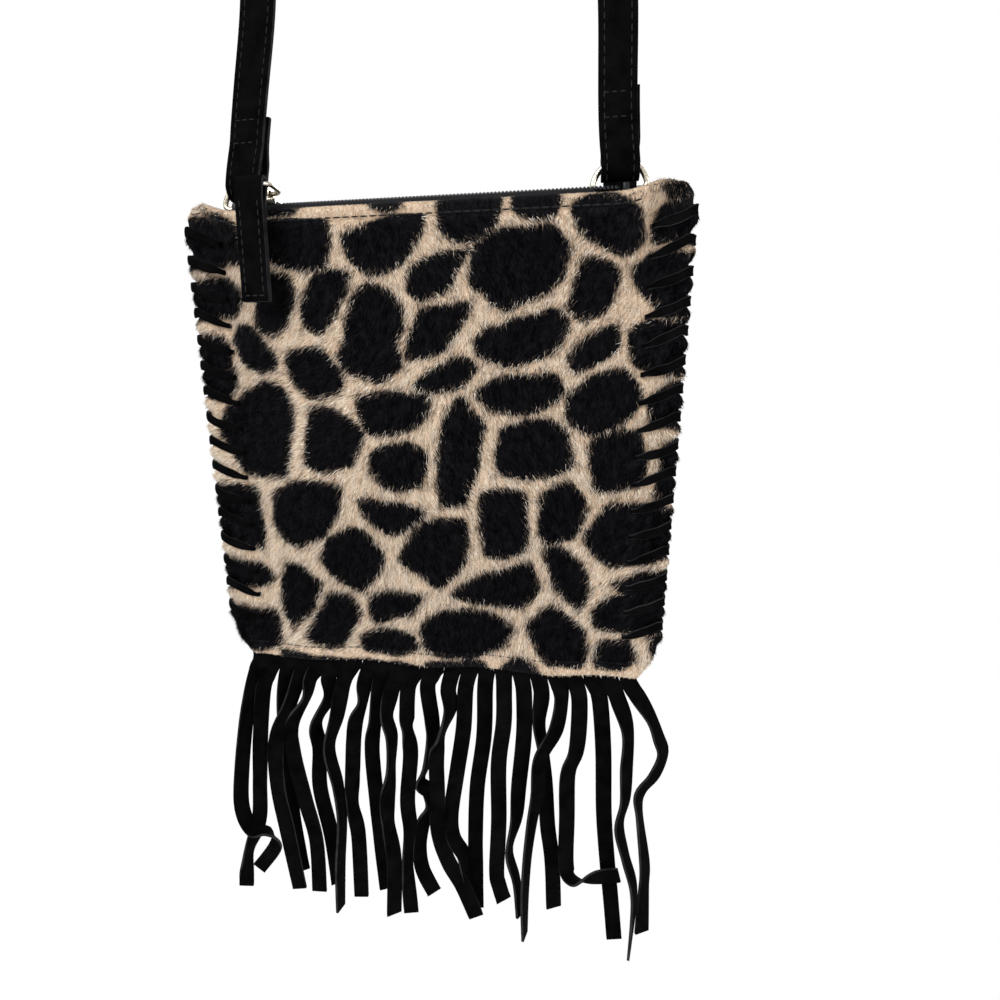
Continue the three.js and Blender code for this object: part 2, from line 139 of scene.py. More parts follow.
def finish(name, color, roughness, specular, metallic=0.0, sheen=0.0):
    made = bpy.data.materials.new(name)
    made.use_nodes = True
    made.diffuse_color = (*color, 1)
    shader = made.node_tree.nodes["Principled BSDF"]
    values = {
        "Base Color": (*color, 1),
        "Roughness": roughness,
        "Metallic": metallic,
        "Specular IOR Level": specular,
        "Sheen Weight": sheen,
        "Sheen Roughness": 0.5,
    }
    for key, value in values.items():
        shader.inputs[key].default_value = value
    coords = made.node_tree.nodes.new("ShaderNodeTexCoord").outputs["Object"]
    return made, Wire(made.node_tree, coords), shader


def feed(shader, **wires):
    names = {"color": "Base Color", "rough": "Roughness", "normal": "Normal"}
    for key, wire in wires.items():
        wire.tree.links.new(wire.socket, shader.inputs[names[key]])


# finishes: pairs run from the darkest to the palest colour, and weaves are in metres
looks = {
    "suede": ((0.0008, 0.0008, 0.0009), (0.0034, 0.0034, 0.0038)),
    # the cut edge is paler than the face: partly its own grey, partly a painted highlight along the edge
    "suedeEdgeAndHighlight": ((0.009, 0.009, 0.01), (0.034, 0.034, 0.036)),
    "nap": 160,
    "fibre": 2600,
    "nickel": ((0.38, 0.34, 0.27), (0.6, 0.56, 0.47)),
    "nickelMean": (0.5, 0.46, 0.38),
    "wear": 900,
    "tape": ((0.004, 0.004, 0.005), (0.014, 0.014, 0.016)),
    "tapeWeave": 0.0009,
    "lining": ((0.016, 0.014, 0.015), (0.034, 0.03, 0.032)),
    "liningWeave": 0.0008,
    "coil": (0.004, 0.004, 0.005),
    "coilGrain": 1500,
    "thread": ((0.004, 0.004, 0.0045), (0.014, 0.014, 0.016)),
    "threadMean": (0.006, 0.006, 0.007),
    "twist": 3000,
}


def suedeFinish(name, dark, pale):
    made, at, shader = finish(name, dark, roughness=0.95, specular=0.012)
    nap = at.noise(looks["nap"], 4)
    fibre = at.noise(looks["fibre"])
    feed(
        shader,
        color=(nap * 0.65 + fibre * 0.35).ramp((0.36, dark), (0.68, pale)),
        rough=nap * 0.2 + 0.75,
        normal=(fibre + nap * 0.6).bump(0.5, 0.0003),
    )
    return made


def metalFinish(name, dull, bright):
    made, at, shader = finish(name, looks["nickelMean"], roughness=0.25, specular=0.5, metallic=1.0)
    wear = at.noise(looks["wear"])
    feed(shader, color=wear.ramp((0.35, dull), (0.65, bright)), rough=wear * 0.25 + 0.14)
    return made


def clothFinish(name, dark, pale, weave):
    made, at, shader = finish(name, dark, roughness=0.9, specular=0.2, sheen=0.1)
    turns = 2 * math.pi / weave
    along = at.node("ShaderNodeSeparateXYZ", {}, {"Vector": at})
    down = Wire(at.tree, along.socket.node.outputs["Z"])
    weft = at.sum("SINE", along * turns, 0)
    warp = at.sum("SINE", down * turns, 0)
    crossed = weft * warp * 0.5 + 0.5
    feed(shader, color=crossed.ramp((0.2, dark), (0.9, pale)), normal=crossed.bump(0.5, 0.0002))
    return made


def coilFinish(name, color):
    made, at, shader = finish(name, color, roughness=0.38, specular=0.22)
    feed(shader, rough=at.noise(looks["coilGrain"]) * 0.25 + 0.28)
    return made


def threadFinish(name, dark, pale):
    made, at, shader = finish(name, looks["threadMean"], roughness=0.75, specular=0.12, sheen=0.05)
    feed(shader, color=at.noise(looks["twist"]).ramp((0.3, dark), (0.7, pale)))
    return made


suede = suedeFinish("blackSuede", *looks["suede"])
suedeEdgeAndHighlight = suedeFinish("suedeCutEdgeAndHighlight", *looks["suedeEdgeAndHighlight"])
nickel = metalFinish("paleNickel", *looks["nickel"])
zipCloth = clothFinish("zipTape", *looks["tape"], looks["tapeWeave"])
liningCloth = clothFinish("liningCloth", *looks["lining"], looks["liningWeave"])
coilNylon = coilFinish("coilNylon", looks["coil"])
thread = threadFinish("blackThread", *looks["thread"])


def linked(name, data):
    made = bpy.data.objects.new(name, data)
    bpy.context.scene.collection.objects.link(made)
    return made


# a finished mesh joins the scene on the body that carries it
def added(name, mesh, host, materials):
    for material in materials:
        mesh.materials.append(material)
    made = linked(name, mesh)
    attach(made, host)
    return made


def keep(name, bm, host, materials):
    mesh = bpy.data.meshes.new(name)
    bm.normal_update()
    bm.to_mesh(mesh)
    bm.free()
    mesh.shade_smooth()
    return added(name, mesh, host, materials)


def shapedGrid(bm, columns, rows, place):
    made = bmesh.ops.create_grid(bm, x_segments=columns, y_segments=rows, size=0.5)["verts"]
    for v in made:
        v.co = place(v.co.x + 0.5, v.co.y + 0.5) * mm


# many copies of one small shape, one for each matrix
def repeated(name, bm, matrices, host, materials):
    shape = bpy.data.meshes.new(name)
    bm.to_mesh(shape)
    bm.free()
    spots = np.array([(*v.co, 1) for v in shape.vertices])
    # a sphere's corners come in another order each run, so they are sorted
    order = np.lexsort(spots.T)
    spots = spots[order]
    rounds = [np.argsort(order)[np.array(f.vertices)] for f in shape.polygons]
    faces = sorted(tuple(np.roll(r, -r.argmin())) for r in rounds)
    bpy.data.meshes.remove(shape)
    points = (spots @ np.array(matrices).transpose(0, 2, 1))[..., :3].reshape(-1, 3)
    turned = [[c + k * len(spots) for c in f] for k in range(len(matrices)) for f in faces]
    mesh = bpy.data.meshes.new(name)
    mesh.from_pydata(points, [], turned)
    mesh.shade_smooth()
    return added(name, mesh, host, materials)


def bead(sides, rings):
    bm = bmesh.new()
    upright = Matrix.Rotation(math.pi / 2, 4, "Y")
    bmesh.ops.create_uvsphere(bm, u_segments=sides, v_segments=rings, radius=mm, matrix=upright)
    return bm


def bevelled(piece, name, width, degrees):
    edge = piece.modifiers.new(name, "BEVEL")
    edge.width = width * mm
    edge.segments = 2
    edge.limit_method = "ANGLE"
    edge.angle_limit = math.radians(degrees)


# suede is a flat mesh made thick, with a paler cut edge, partly the edge's own grey and partly a painted
# highlight
def suedePiece(name, bm, host, node, thickness, wornEdge):
    made = keep(name, bm, host, [suede, suedeEdgeAndHighlight])
    solid = made.modifiers.new("thickness", "SOLIDIFY")
    solid.thickness = thickness * mm
    solid.offset = 0
    solid.use_even_offset = True
    solid.material_offset_rim = 1
    bevelled(made, "wornEdge", wornEdge, 50)
    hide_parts(node)
    return made


# stations are pairs (centre, across), both in millimetres
def facesOf(stations):
    faces = []
    for i, (_, across) in enumerate(stations):
        before = stations[max(i - 1, 0)][0]
        after = stations[min(i + 1, len(stations) - 1)][0]
        faces.append((after - before).cross(across).normalized())
    return faces


def suedeBand(name, host, node, stations, sizes, columns=6, cup=0.0):
    width = sizes["width"]
    rows = len(stations) - 1
    faces = facesOf(stations)
    bm = bmesh.new()

    def place(u, v):
        row = round(v * rows)
        centre, across = stations[row]
        side = 2 * u - 1
        return centre + across * (side * width / 2) + faces[row] * (cup * (side * side - 0.5))

    shapedGrid(bm, columns, rows, place)
    return suedePiece(name, bm, host, node, sizes["thickness"], sizes["wornEdge"])


def smoothLine(points, spacing):
    points = [Vector(p) for p in points]
    line = []
    for i in range(len(points) - 1):
        a = points[max(i - 1, 0)]
        b, c = points[i], points[i + 1]
        d = points[min(i + 2, len(points) - 1)]
        count = max(1, round((c - b).length / spacing))
        for k in range(count):
            t = k / count
            spread = 2 * b + (c - a) * t + (2 * a - 5 * b + 4 * c - d) * t**2
            line.append(0.5 * (spread + (3 * b - a - 3 * c + d) * t**3))
    line.append(points[-1])
    return line


def lengthOf(points):
    return sum((b - a).length for a, b in zip(points, points[1:]))


# stitches follow a line of (point, outward), sunk a little into what they hold
def stitchesAlong(line, length, gap, radius):
    places = []
    walked = 0.0
    nextStart = gap
    for (a, outA), (b, _) in zip(line, line[1:]):
        step = (b - a).length
        while nextStart < walked + step:
            at = a.lerp(b, (nextStart - walked) / step)
            along = (b - a).normalized()
            out = outA.normalized()
            side = along.cross(out).normalized()
            turn = Matrix((along, side, along.cross(side))).transposed().to_4x4()
            size = Matrix.Diagonal((length / 2, radius, radius * 0.8, 1))
            places.append(Matrix.Translation(at * mm) @ turn @ size)
            nextStart += length + gap
        walked += step
    return places


def copyOf(node, name, material, levels=0, bevel=0.0):
    bm = bmesh.new()
    bm.from_mesh(nodes[node].data)
    bmesh.ops.remove_doubles(bm, verts=bm.verts, dist=1e-6)
    made = keep(name, bm, nodes[node]["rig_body"], [material])
    if bevel:
        bevelled(made, "rounded", bevel, 35)
    if levels:
        fine = made.modifiers.new("fine", "SUBSURF")
        fine.levels = levels
        fine.render_levels = levels
    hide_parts(node)


# body: the same outline as the solids, in millimetres below the top edge
body = {
    "top": -418.6,
    "topHalf": 93.0,
    "bottomHalf": 87.0,
    "height": 175.5,
    "topCorner": (8, 4),  # how long the rounding is, and how far in it goes
    "bottomCorner": (18, 7),
    "topGap": 9.6,
    "bellyGap": 9.8,
    "bellyDepth": 70,
    "flatEdge": (2, 15),
    "flatEdgeDepth": 8.4,
    "swellRun": (11, 34),
    "swellDepth": (12, 60),
    "seamGap": (0.2, 0.95),
    "seamWidth": 11,
    "seamLine": 170.0,
    "seamGroove": (0.8, 0.5),  # half width and depth
    "hemLine": 4.2,
    "hemGroove": (0.7, 0.8),
    "frontHem": 1.6,
    "backHem": 2.8,
    "hemSlack": 0.3,
    "frontDip": 1.7,
    "dipSpan": (64, 86),
    "earLift": 2.6,
    "earSpan": (70, 86),
    "earFade": 40,
    "roll": 2,
    "rollDrop": 1.2,
    "rollSlack": 0.8,
    "turnIn": 9.0,
    "plush": 2.2,
    "pile": 1.0,
    "backing": 0.9,
    "scallop": 1.2,
    "scallopFall": 14,
    "scallopStart": (2, 8),
    "scallopEnd": (158, 166),
    "edgeRound": 1.8,
    "edgeReach": 0.3,
    "wave": 0.8,
    "waveRate": 0.13,
    "waveStart": 150,
    "grid": (150, 156),
    "flat": (0.186, 0.19),
}
lace = {
    "width": 3.4,
    "thickness": 0.9,
    "wornEdge": 0.2,
    "cup": 0.25,
    "pitch": 9.8,
    "turns": 16,
    "reach": 13.5,
    "rise": 4.7,
    "edgeStep": 0.6,
    "lowest": 158.5,
    "lift": 3.0,
    "drift": 0.7,
}


def halfWidthAt(depth):
    topLong, topIn = body["topCorner"]
    bottomLong, bottomIn = body["bottomCorner"]
    straight = lerp(body["topHalf"], body["bottomHalf"], depth / body["height"])
    above = np.maximum(0, 1 - depth / topLong)
    below = np.maximum(0, 1 - (body["height"] - depth) / bottomLong)
    return straight - topIn * above**2 - bottomIn * below**2


def swellAt(x, depth):
    margin = lerp(*body["flatEdge"], np.minimum(depth / body["flatEdgeDepth"], 1))
    run = lerp(*body["swellRun"], smooth(depth, *body["swellDepth"]))
    inside = halfWidthAt(depth) - np.abs(x) - margin
    return np.sin(np.pi / 2 * np.clip(inside / run, 0, 1))


def gapAt(x, depth):
    belly = body["bellyDepth"]
    seam = body["height"] - body["seamWidth"]
    full = lerp(body["topGap"], body["bellyGap"], smooth(depth, 0, belly))
    closing = np.cos(np.pi / 2 * np.clip((depth - belly) / (seam - belly - 1), 0, 1))
    pinched = lerp(*body["seamGap"], smooth(depth, seam - 6, seam))
    return pinched + (full - pinched) * closing * swellAt(x, depth)


# the corners stand up as ears, and the front's top edge lies lower than the zip between them
def topAt(x, depth, side):
    fade = 1 - smooth(depth, 0, body["earFade"])
    ear = body["earLift"] * smooth(np.abs(x), *body["earSpan"])
    dip = body["frontDip"] * (1 - smooth(np.abs(x), *body["dipSpan"])) * (side < 0)
    return body["top"] + (ear - dip) * fade


def depthAt(t):
    rolled = body["rollDrop"] * (1 - np.cos(np.pi / 2 / body["roll"] * t))
    depth = np.where(np.abs(t) < body["roll"], rolled, np.abs(t) - body["rollSlack"])
    return np.minimum(depth, body["height"])


# u runs across from -1 to 1, t down the outside from the rolled top edge, below 0 inside the hem
def panelPoint(u, t, side):
    depth = depthAt(t)
    crossing = lace["lowest"] - lace["rise"] - lace["edgeStep"]
    pulled = -body["scallop"] * np.cos(2 * np.pi * (depth - crossing) / lace["pitch"])
    pulled = pulled * smooth(depth, *body["scallopStart"]) * (1 - smooth(depth, *body["scallopEnd"]))
    x = u * (halfWidthAt(depth) + pulled * np.abs(u) ** body["scallopFall"])
    gap, swell = gapAt(x, depth), swellAt(x, depth)
    hemWide, hemDeep = body["hemGroove"]
    seamWide, seamDeep = body["seamGroove"]
    groove = np.exp(-(((depth - body["hemLine"]) / hemWide) ** 2)) * swell
    seam = np.exp(-(((depth - body["seamLine"]) / seamWide) ** 2))
    hem = body["frontHem"] if side < 0 else body["backHem"]
    outer = gap + body["plush"] - body["pile"] - hemDeep * groove - seamDeep * seam
    inner = gap - (hem - body["hemSlack"]) * swell
    roll = np.sin(np.pi / 2 / body["roll"] * np.clip(t, -body["roll"], body["roll"]))
    reach = lerp(inner, outer, 0.5 + 0.5 * roll)
    edge = np.clip((1 - np.abs(u)) * halfWidthAt(depth) / body["edgeRound"], 0, 1)
    reach = lerp(body["edgeReach"], reach, np.sqrt(edge))
    wavy = body["wave"] * np.sin(x * body["waveRate"] + side)
    wavy = wavy * smooth(depth, body["waveStart"], body["height"])
    return np.stack([x, side * reach, topAt(x, depth, side) - depth + wavy], -1)


# print: black patches with soft corners, each a list of corners (across, down)
printed = {
    "front": [
        [(-95, 6), (-73, 3), (-66, 7), (-66, 18), (-79, 20), (-95, 22)],
        [(-18, -1), (-6, -1), (-6, 2), (-14, 2)],
        [(-57, -1), (-43, -1), (-46, 2), (-56, 2)],
        [(7, 1), (10, -2), (28, -2), (28, 4), (26, 10), (19, 14), (12, 14), (7, 9)],
        [(33, -2), (46, -2), (48, 2), (46, 7), (38, 8), (33, 4)],
        [(52, 4), (56, 1), (68, 2), (74, 8), (76, 16), (70, 21), (64, 19), (54, 12)],
        [(80, 8), (83, 6), (96, 7), (96, 18), (80, 17), (79, 12)],
        [(82, 2), (88, 0), (91, 4), (84, 5)],
        [(0, 20), (9, 18), (17, 17), (14, 24), (9, 32), (0, 34), (-4, 31), (-4, 24)],
        [(19, 18), (24, 12), (36, 10), (45, 10), (51, 18), (49, 28), (42, 34), (30, 38), (23, 34),
         (18, 28)],
        [(56, 22), (61, 21), (68, 27), (67, 34), (62, 40), (56, 42), (51, 38), (53, 30)],
        [(72, 25), (78, 21), (96, 22), (96, 40), (84, 41), (79, 36), (74, 30)],
        [(-57, 24), (-48, 24), (-47, 33), (-50, 41), (-57, 46), (-64, 42), (-62, 34)],
        [(-95, 26), (-76, 24), (-68, 30), (-72, 36), (-80, 38), (-95, 38)],
        [(-38, 24), (-32, 22), (-26, 24), (-28, 32), (-33, 41), (-38, 45), (-43, 42), (-44, 36)],
        [(-23, 30), (-18, 28), (-10, 32), (-6, 38), (-9, 48), (-16, 54), (-28, 48), (-26, 36)],
        [(-28, 46), (-18, 40), (-10, 46), (-8, 58), (-17, 62), (-26, 60), (-31, 54)],
        [(0, 38), (9, 36), (18, 36), (14, 44), (8, 51), (0, 54), (-6, 54), (-4, 46)],
        [(23, 44), (32, 42), (46, 38), (51, 42), (50, 48), (44, 54), (30, 57), (22, 54), (19, 49)],
        [(60, 46), (68, 44), (68, 52), (62, 56), (54, 60), (52, 55), (55, 50)],
        [(72, 46), (77, 43), (96, 42), (96, 60), (82, 60), (74, 56), (72, 50)],
        [(-74, 42), (-64, 42), (-60, 48), (-56, 52), (-57, 57), (-64, 59), (-73, 54), (-77, 46)],
        [(-95, 45), (-80, 46), (-78, 55), (-77, 62), (-80, 69), (-95, 66)],
        [(-49, 51), (-40, 50), (-34, 54), (-30, 60), (-32, 66), (-40, 68), (-48, 64), (-52, 56)],
        [(-3, 64), (4, 58), (14, 54), (20, 58), (14, 64), (5, 66)],
        [(20, 66), (26, 62), (38, 60), (48, 61), (50, 66), (44, 72), (32, 74), (24, 72)],
        [(52, 68), (60, 61), (70, 58), (76, 65), (76, 73), (68, 79), (60, 81), (52, 76)],
        [(80, 71), (86, 64), (96, 64), (96, 80), (82, 78)],
        [(-74, 67), (-64, 62), (-55, 64), (-50, 72), (-52, 84), (-56, 98), (-76, 98), (-85, 82),
         (-82, 72)],
        [(-44, 72), (-34, 72), (-26, 77), (-23, 84), (-28, 92), (-38, 96), (-47, 92), (-45, 80)],
        [(-24, 68), (-15, 66), (2, 68), (2, 74), (-4, 79), (-19, 82), (-24, 75)],
        [(11, 70), (14, 68), (18, 72), (22, 78), (20, 92), (14, 107), (6, 108), (5, 94), (7, 79)],
        [(28, 80), (38, 76), (46, 76), (52, 82), (54, 92), (42, 97), (27, 95)],
        [(60, 84), (68, 80), (76, 81), (80, 90), (77, 101), (62, 101)],
        [(-20, 88), (-6, 84), (0, 88), (-1, 100), (-14, 102), (-21, 96)],
        [(86, 85), (96, 83), (96, 103), (84, 104)],
        [(-95, 103), (-72, 104), (-69, 122), (-72, 130), (-78, 128), (-95, 124)],
        [(-62, 105), (-48, 99), (-34, 102), (-34, 110), (-43, 122), (-52, 126), (-60, 124),
         (-64, 116)],
        [(-27, 104), (-14, 107), (0, 107), (-1, 112), (-10, 119), (-14, 120), (-24, 114)],
        [(-40, 122), (-30, 118), (-24, 120), (-18, 130), (-20, 136), (-29, 144), (-38, 140),
         (-44, 132)],
        [(-4, 117), (6, 113), (14, 113), (15, 128), (10, 136), (2, 142), (-4, 137), (-13, 132)],
        [(21, 104), (28, 101), (36, 102), (38, 113), (37, 124), (28, 128), (22, 126), (20, 116)],
        [(43, 103), (52, 98), (58, 104), (59, 110), (54, 119), (44, 122), (42, 115)],
        [(60, 117), (66, 107), (96, 109), (96, 124), (77, 130), (70, 131), (62, 126), (58, 120)],
        [(44, 124), (48, 122), (54, 126), (60, 134), (60, 140), (57, 148), (50, 142), (46, 134)],
        [(6, 146), (15, 138), (24, 134), (38, 130), (42, 138), (37, 148), (33, 150), (23, 148),
         (10, 148)],
        [(-60, 134), (-53, 135), (-46, 142), (-50, 153), (-60, 162), (-64, 153), (-63, 143)],
        [(-95, 136), (-74, 135), (-66, 140), (-70, 144), (-78, 146), (-95, 146)],
        [(-95, 156), (-68, 156), (-65, 165), (-68, 172), (-76, 174), (-95, 176)],
        [(-42, 146), (-34, 146), (-30, 154), (-36, 166), (-39, 170), (-48, 169), (-54, 166),
         (-50, 158)],
        [(-24, 146), (-16, 144), (-4, 146), (-7, 152), (-16, 156), (-24, 158), (-26, 152)],
        [(-6, 162), (-2, 155), (12, 150), (25, 152), (32, 158), (28, 165), (20, 170), (6, 172),
         (-3, 168)],
        [(42, 150), (48, 147), (54, 152), (60, 158), (60, 166), (58, 172), (46, 171), (40, 164),
         (38, 156)],
        [(-30, 165), (-22, 161), (-14, 161), (-6, 166), (-12, 171), (-22, 172), (-29, 171)],
        [(66, 144), (74, 142), (96, 147), (96, 156), (74, 157), (64, 156), (62, 150)],
        [(69, 138), (77, 134), (96, 132), (96, 144), (80, 146), (74, 142)],
        [(66, 162), (76, 160), (78, 168), (72, 173), (64, 172), (64, 166)],
        [(-4, 174), (20, 173), (22, 180), (-4, 180)],
        [(-66, 172.5), (-52, 173.5), (-37, 175.5), (-37, 184), (-66, 184)],
        [(-36, 176), (-4, 175.5), (-4, 184), (-36, 184)],
        [(84, 158), (96, 156), (96, 177), (87, 172)],
        [(27, 175), (34, 170), (40, 172), (44, 180), (26, 180)],
    ],
    "belowHem": [
        [(-58, 2), (-35, 2), (-32, 10), (-34, 20), (-42, 23), (-52, 20), (-56, 18)],
        [(-28, 7), (-12, 5), (-4, 2), (2, 2), (0, 12), (-8, 22), (-18, 25), (-24, 20), (-27, 14)],
    ],
    "round": 0.9,
    "far": 5.0,
    "grow": 1.3,
    "feather": 1.8,
    "waver": 0.3,
    "acrossWave": (0.42, 1.7, 0.23),  # rate, bend and the bend's own rate
    "downWave": (0.5, 1.3, 0.31),
    "downShare": 0.8,
    # each family's other tones are a darker and a paler copy of its first: partly random tone, partly
    # painted shade and painted highlight, the paler black being a painted sheen
    "cream": [(0.86, 0.73, 0.58), (0.56, 0.42, 0.3), (0.97, 0.9, 0.79)],
    "between": [(0.15, 0.115, 0.09)],
    "black": [(0.0018, 0.0018, 0.0022), (0.009, 0.009, 0.011), (0.0008, 0.0008, 0.001)],
}


# how far inside its soft-cornered patch a point is, in millimetres; below 0 it is cream
def insideBy(patches, x, depth):
    far, soft = printed["far"], printed["round"]
    best = np.full(x.shape, -far)
    for corners in patches:
        spots = np.array(corners, float)
        low, high = spots.min(0) - far, spots.max(0) + far
        near = np.nonzero((x > low[0]) & (x < high[0]) & (depth > low[1]) & (depth < high[1]))[0]
        crowd = np.zeros(len(near))
        for (ax, ad), (bx, bd) in zip(spots, np.roll(spots, -1, 0)):
            long = math.hypot(bx - ax, bd - ad)
            within = ((bx - ax) * (depth[near] - ad) - (bd - ad) * (x[near] - ax)) / long
            crowd += np.exp(np.clip(-within / soft, -40, 40))
        best[near] = np.maximum(best[near], -soft * np.log(crowd))
    return best


# a wave along a that wanders with b
def ripple(a, b, rate, bend, bendRate):
    return np.sin(a * rate + bend * np.sin(b * bendRate))


# the back has the front's print turned half round, and the front's hem line cuts some patches off
def printAt(x, depth, side):
    wave = ripple(x, depth, *printed["acrossWave"])
    wave = wave + printed["downShare"] * ripple(depth, x, *printed["downWave"])
    if side > 0:
        best = insideBy(printed["front"] + printed["belowHem"], -x, body["height"] - depth)
    else:
        below = insideBy(printed["belowHem"], x, depth)
        below = np.where(depth > body["hemLine"], below, -printed["far"])
        best = np.maximum(insideBy(printed["front"], x, depth), below)
    return best + printed["grow"] + printed["waver"] * wave


# the backing's cream is darker than the hairs' cream: painted shade in the gaps between the hairs
backing = {
    "mean": (0.6, 0.45, 0.32),
    "cream": ((0.34, 0.24, 0.16), (0.62, 0.47, 0.34)),
    "black": ((0.002, 0.002, 0.0025), (0.008, 0.008, 0.01)),
    "streak": 900,
    "ragged": 2.4,
    "soft": 0.8,
}


def plushFinish():
    made, at, shader = finish("plushBackingInShade", backing["mean"], roughness=0.95, specular=0.05, sheen=0.02)
    inside = at.node("ShaderNodeAttribute", {"attribute_name": "patch"}, {}, "Fac")
    streak = at.noise(backing["streak"], 3, (1, 1, 0.3))
    ragged = inside + streak * backing["ragged"] - backing["ragged"] / 2
    mask = ragged.step(-backing["soft"], backing["soft"])
    # these ramps paint the shade that falls between the hairs onto the backing
    cream, black = (streak.ramp(*zip((0.3, 0.7), backing[family])) for family in ("cream", "black"))
    feed(shader, color=mask.mix(cream, black), normal=streak.bump(0.6, 0.0006))
    return made


plush = plushFinish()
hairShine = {"cream": 0.15, "between": 0.08, "black": 0.015}
hairColors = []
for family, shine in hairShine.items():
    for i, tone in enumerate(printed[family]):
        hairColors.append(finish(f"{family}Hair{i}", tone, roughness=0.6, specular=shine)[0])


def panel(name, node, side):
    bm = bmesh.new()
    columns, rows = body["grid"]
    verts = bmesh.ops.create_grid(bm, x_segments=columns, y_segments=rows, size=0.5)["verts"]
    flat = np.array([v.co for v in verts])
    long = body["height"] + body["rollSlack"] + body["turnIn"]
    down = (flat[:, 1] + 0.5) * long - body["turnIn"]
    spots = panelPoint(2 * flat[:, 0], down, side)
    for v, spot in zip(verts, spots):
        v.co = spot * mm
    if side < 0:
        bmesh.ops.reverse_faces(bm, faces=bm.faces)
    made = keep(name, bm, "bag", [plush, plush])
    patch = made.data.attributes.new("patch", "FLOAT", "POINT")
    patch.data.foreach_set("value", printAt(spots[:, 0], depthAt(down), side).astype(np.float32))
    solid = made.modifiers.new("backing", "SOLIDIFY")
    solid.thickness = body["backing"] * mm
    solid.offset = -1
    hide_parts(node)
    return made


frontPanel = panel("frontPanel", "front_panel", -1)
backPanel = panel("backPanel", "back_panel", 1)
print("panels shaped")


# pile: each hair is one slim closed spike that leans the way the plush is brushed
pile = {
    "front": 3,
    "back": 1,
    "perPiece": 48500,
    "quickShare": 0.2,
    "length": (1.7, 4.0),
    "width": (0.13, 0.25),
    "backBroad": 1.8,
    "sunk": 0.25,
    "brushed": -102,
    "stray": 0.36,
    "lift": (15, 14),
    "sideShare": 0.08,
    "rollShare": 0.03,
    "hemSpan": (-5, 0.5),
    "hemHalf": 78,
    "hemShort": 0.42,
    "edgeShort": 0.5,
    "bottomSpan": (168, 173),
    "bottomShort": 0.4,
    "lacePress": (-1.8, 3.2),
    "laceShort": 0.35,
    "across": (0.9, 2, 0.35),
    "down": (1.1, 2, 0.5),
    "lockAcross": (1.9, 3, 0.31),
    "lockDown": (0.7, 2, 0.6),
    "deepBelow": 0.3,
    "brightAbove": 0.72,
    "betweenBand": 0.9,
    "rubbed": 0.45,
    "rubbedBeyond": 70,
    "rubbedAbove": 6,
}


def brushed(x, depth):
    sway = 0.55 * np.sin(x * 0.045 + 0.7) + 0.4 * np.sin(depth * 0.06 + x * 0.02 + 1.1)
    clump = 0.22 * ripple(x, depth, *pile["across"]) + 0.18 * ripple(depth, x, *pile["down"])
    outward = 0.6 * np.sign(x) * smooth(np.abs(x), 72, 88)
    return np.radians(pile["brushed"]) + sway + clump + outward


# the thong presses the pile flat along each of its wraps
def underLace(x, depth):
    hole = halfWidthAt(depth) - lace["reach"]
    along = np.clip((np.abs(x) - hole) / lace["reach"], 0, 1)
    wraps = (lace["lowest"] - depth - lace["rise"] * along) / lace["pitch"]
    off = (wraps - np.round(wraps)) * lace["pitch"]
    laced = (np.abs(x) > hole - 1) & (wraps > -0.4) & (wraps < lace["turns"] - 0.6)
    low, high = pile["lacePress"]
    return laced & (off > low) & (off < high)


def unit(vectors):
    return vectors / (np.linalg.norm(vectors, axis=1, keepdims=True) + 1e-12)


# some hairs crowd the side edges and the rolled top, so that neither shows bare
def hairRoots(count):
    edge = dice.random(count)
    sideways = np.sign(dice.random(count) - 0.5) * (1 - 0.06 * dice.random(count) ** 1.5)
    u = np.where(edge < pile["sideShare"], sideways, 2 * dice.random(count) - 1)
    onRoll = -1.5 + 4 * dice.random(count)
    t = np.where(edge > 1 - pile["rollShare"], onRoll, -1 + (body["height"] + 1.6) * dice.random(count))
    return u, t


def outwardAt(u, t, side):
    stepU, stepT = 0.001, 0.01
    across = panelPoint(u + stepU, t, side) - panelPoint(u - stepU, t, side)
    down = panelPoint(u, t + stepT, side) - panelPoint(u, t - stepT, side)
    out = unit(np.cross(across, down) * side)
    flip = np.sign((out * np.array([0, side, 0.02])).sum(1))
    return out * np.where(flip == 0, 1, flip)[:, None]


# hairs are short over the hem, round the edges, at the bottom seam and under the thong
def hairLengths(u, t, x):
    depth = depthAt(t)
    low, high = pile["hemSpan"]
    overHem = depth - body["hemLine"]
    inHem = (overHem > low) & (overHem < high) & (np.abs(x) < pile["hemHalf"])
    onEdge = (np.abs(u) > 0.965) | (t < 1.5)
    atBottom = smooth(depth, *pile["bottomSpan"])
    length = dice.uniform(*pile["length"], len(u))
    length *= np.where(inHem, pile["hemShort"], 1)
    length *= np.where(onEdge, pile["edgeShort"], 1) * lerp(1, pile["bottomShort"], atBottom)
    return length * np.where(underLace(x, depth), pile["laceShort"], 1)


# each hair takes its number in hairColors from the print under its middle; the ears are rubbed dark
def hairTones(root, tip, t, side):
    count = len(t)
    cream, between = 0, len(printed["cream"])
    black = between + len(printed["between"])
    middle = root + 0.55 * (tip - root)
    depth = depthAt(t) + root[:, 2] - middle[:, 2]
    inside = printAt(middle[:, 0], depth, side) + dice.uniform(-1, 1, count) * printed["feather"]
    lock = ripple(root[:, 0], depth, *pile["lockAcross"]) * ripple(depth, root[:, 0], *pile["lockDown"])
    shade = dice.random(count) + 0.3 * lock
    # the step swaps in the darker or paler copy of the colour: painted shade and painted highlight mixed
    # with random tone
    step = np.where(shade < pile["deepBelow"], 1, np.where(shade > pile["brightAbove"], 2, 0))
    tone = np.where(inside > 0, black, cream) + step
    mixed = (np.abs(inside) < pile["betweenBand"]) & (dice.random(count) < 0.5)
    tone = np.where(mixed, between, tone)
    onEar = (np.abs(middle[:, 0]) > pile["rubbedBeyond"]) & (depth < pile["rubbedAbove"])
    rubbed = onEar & (dice.random(count) < pile["rubbed"])
    return np.where(rubbed, dice.choice((between, black, black + 1), count), tone)


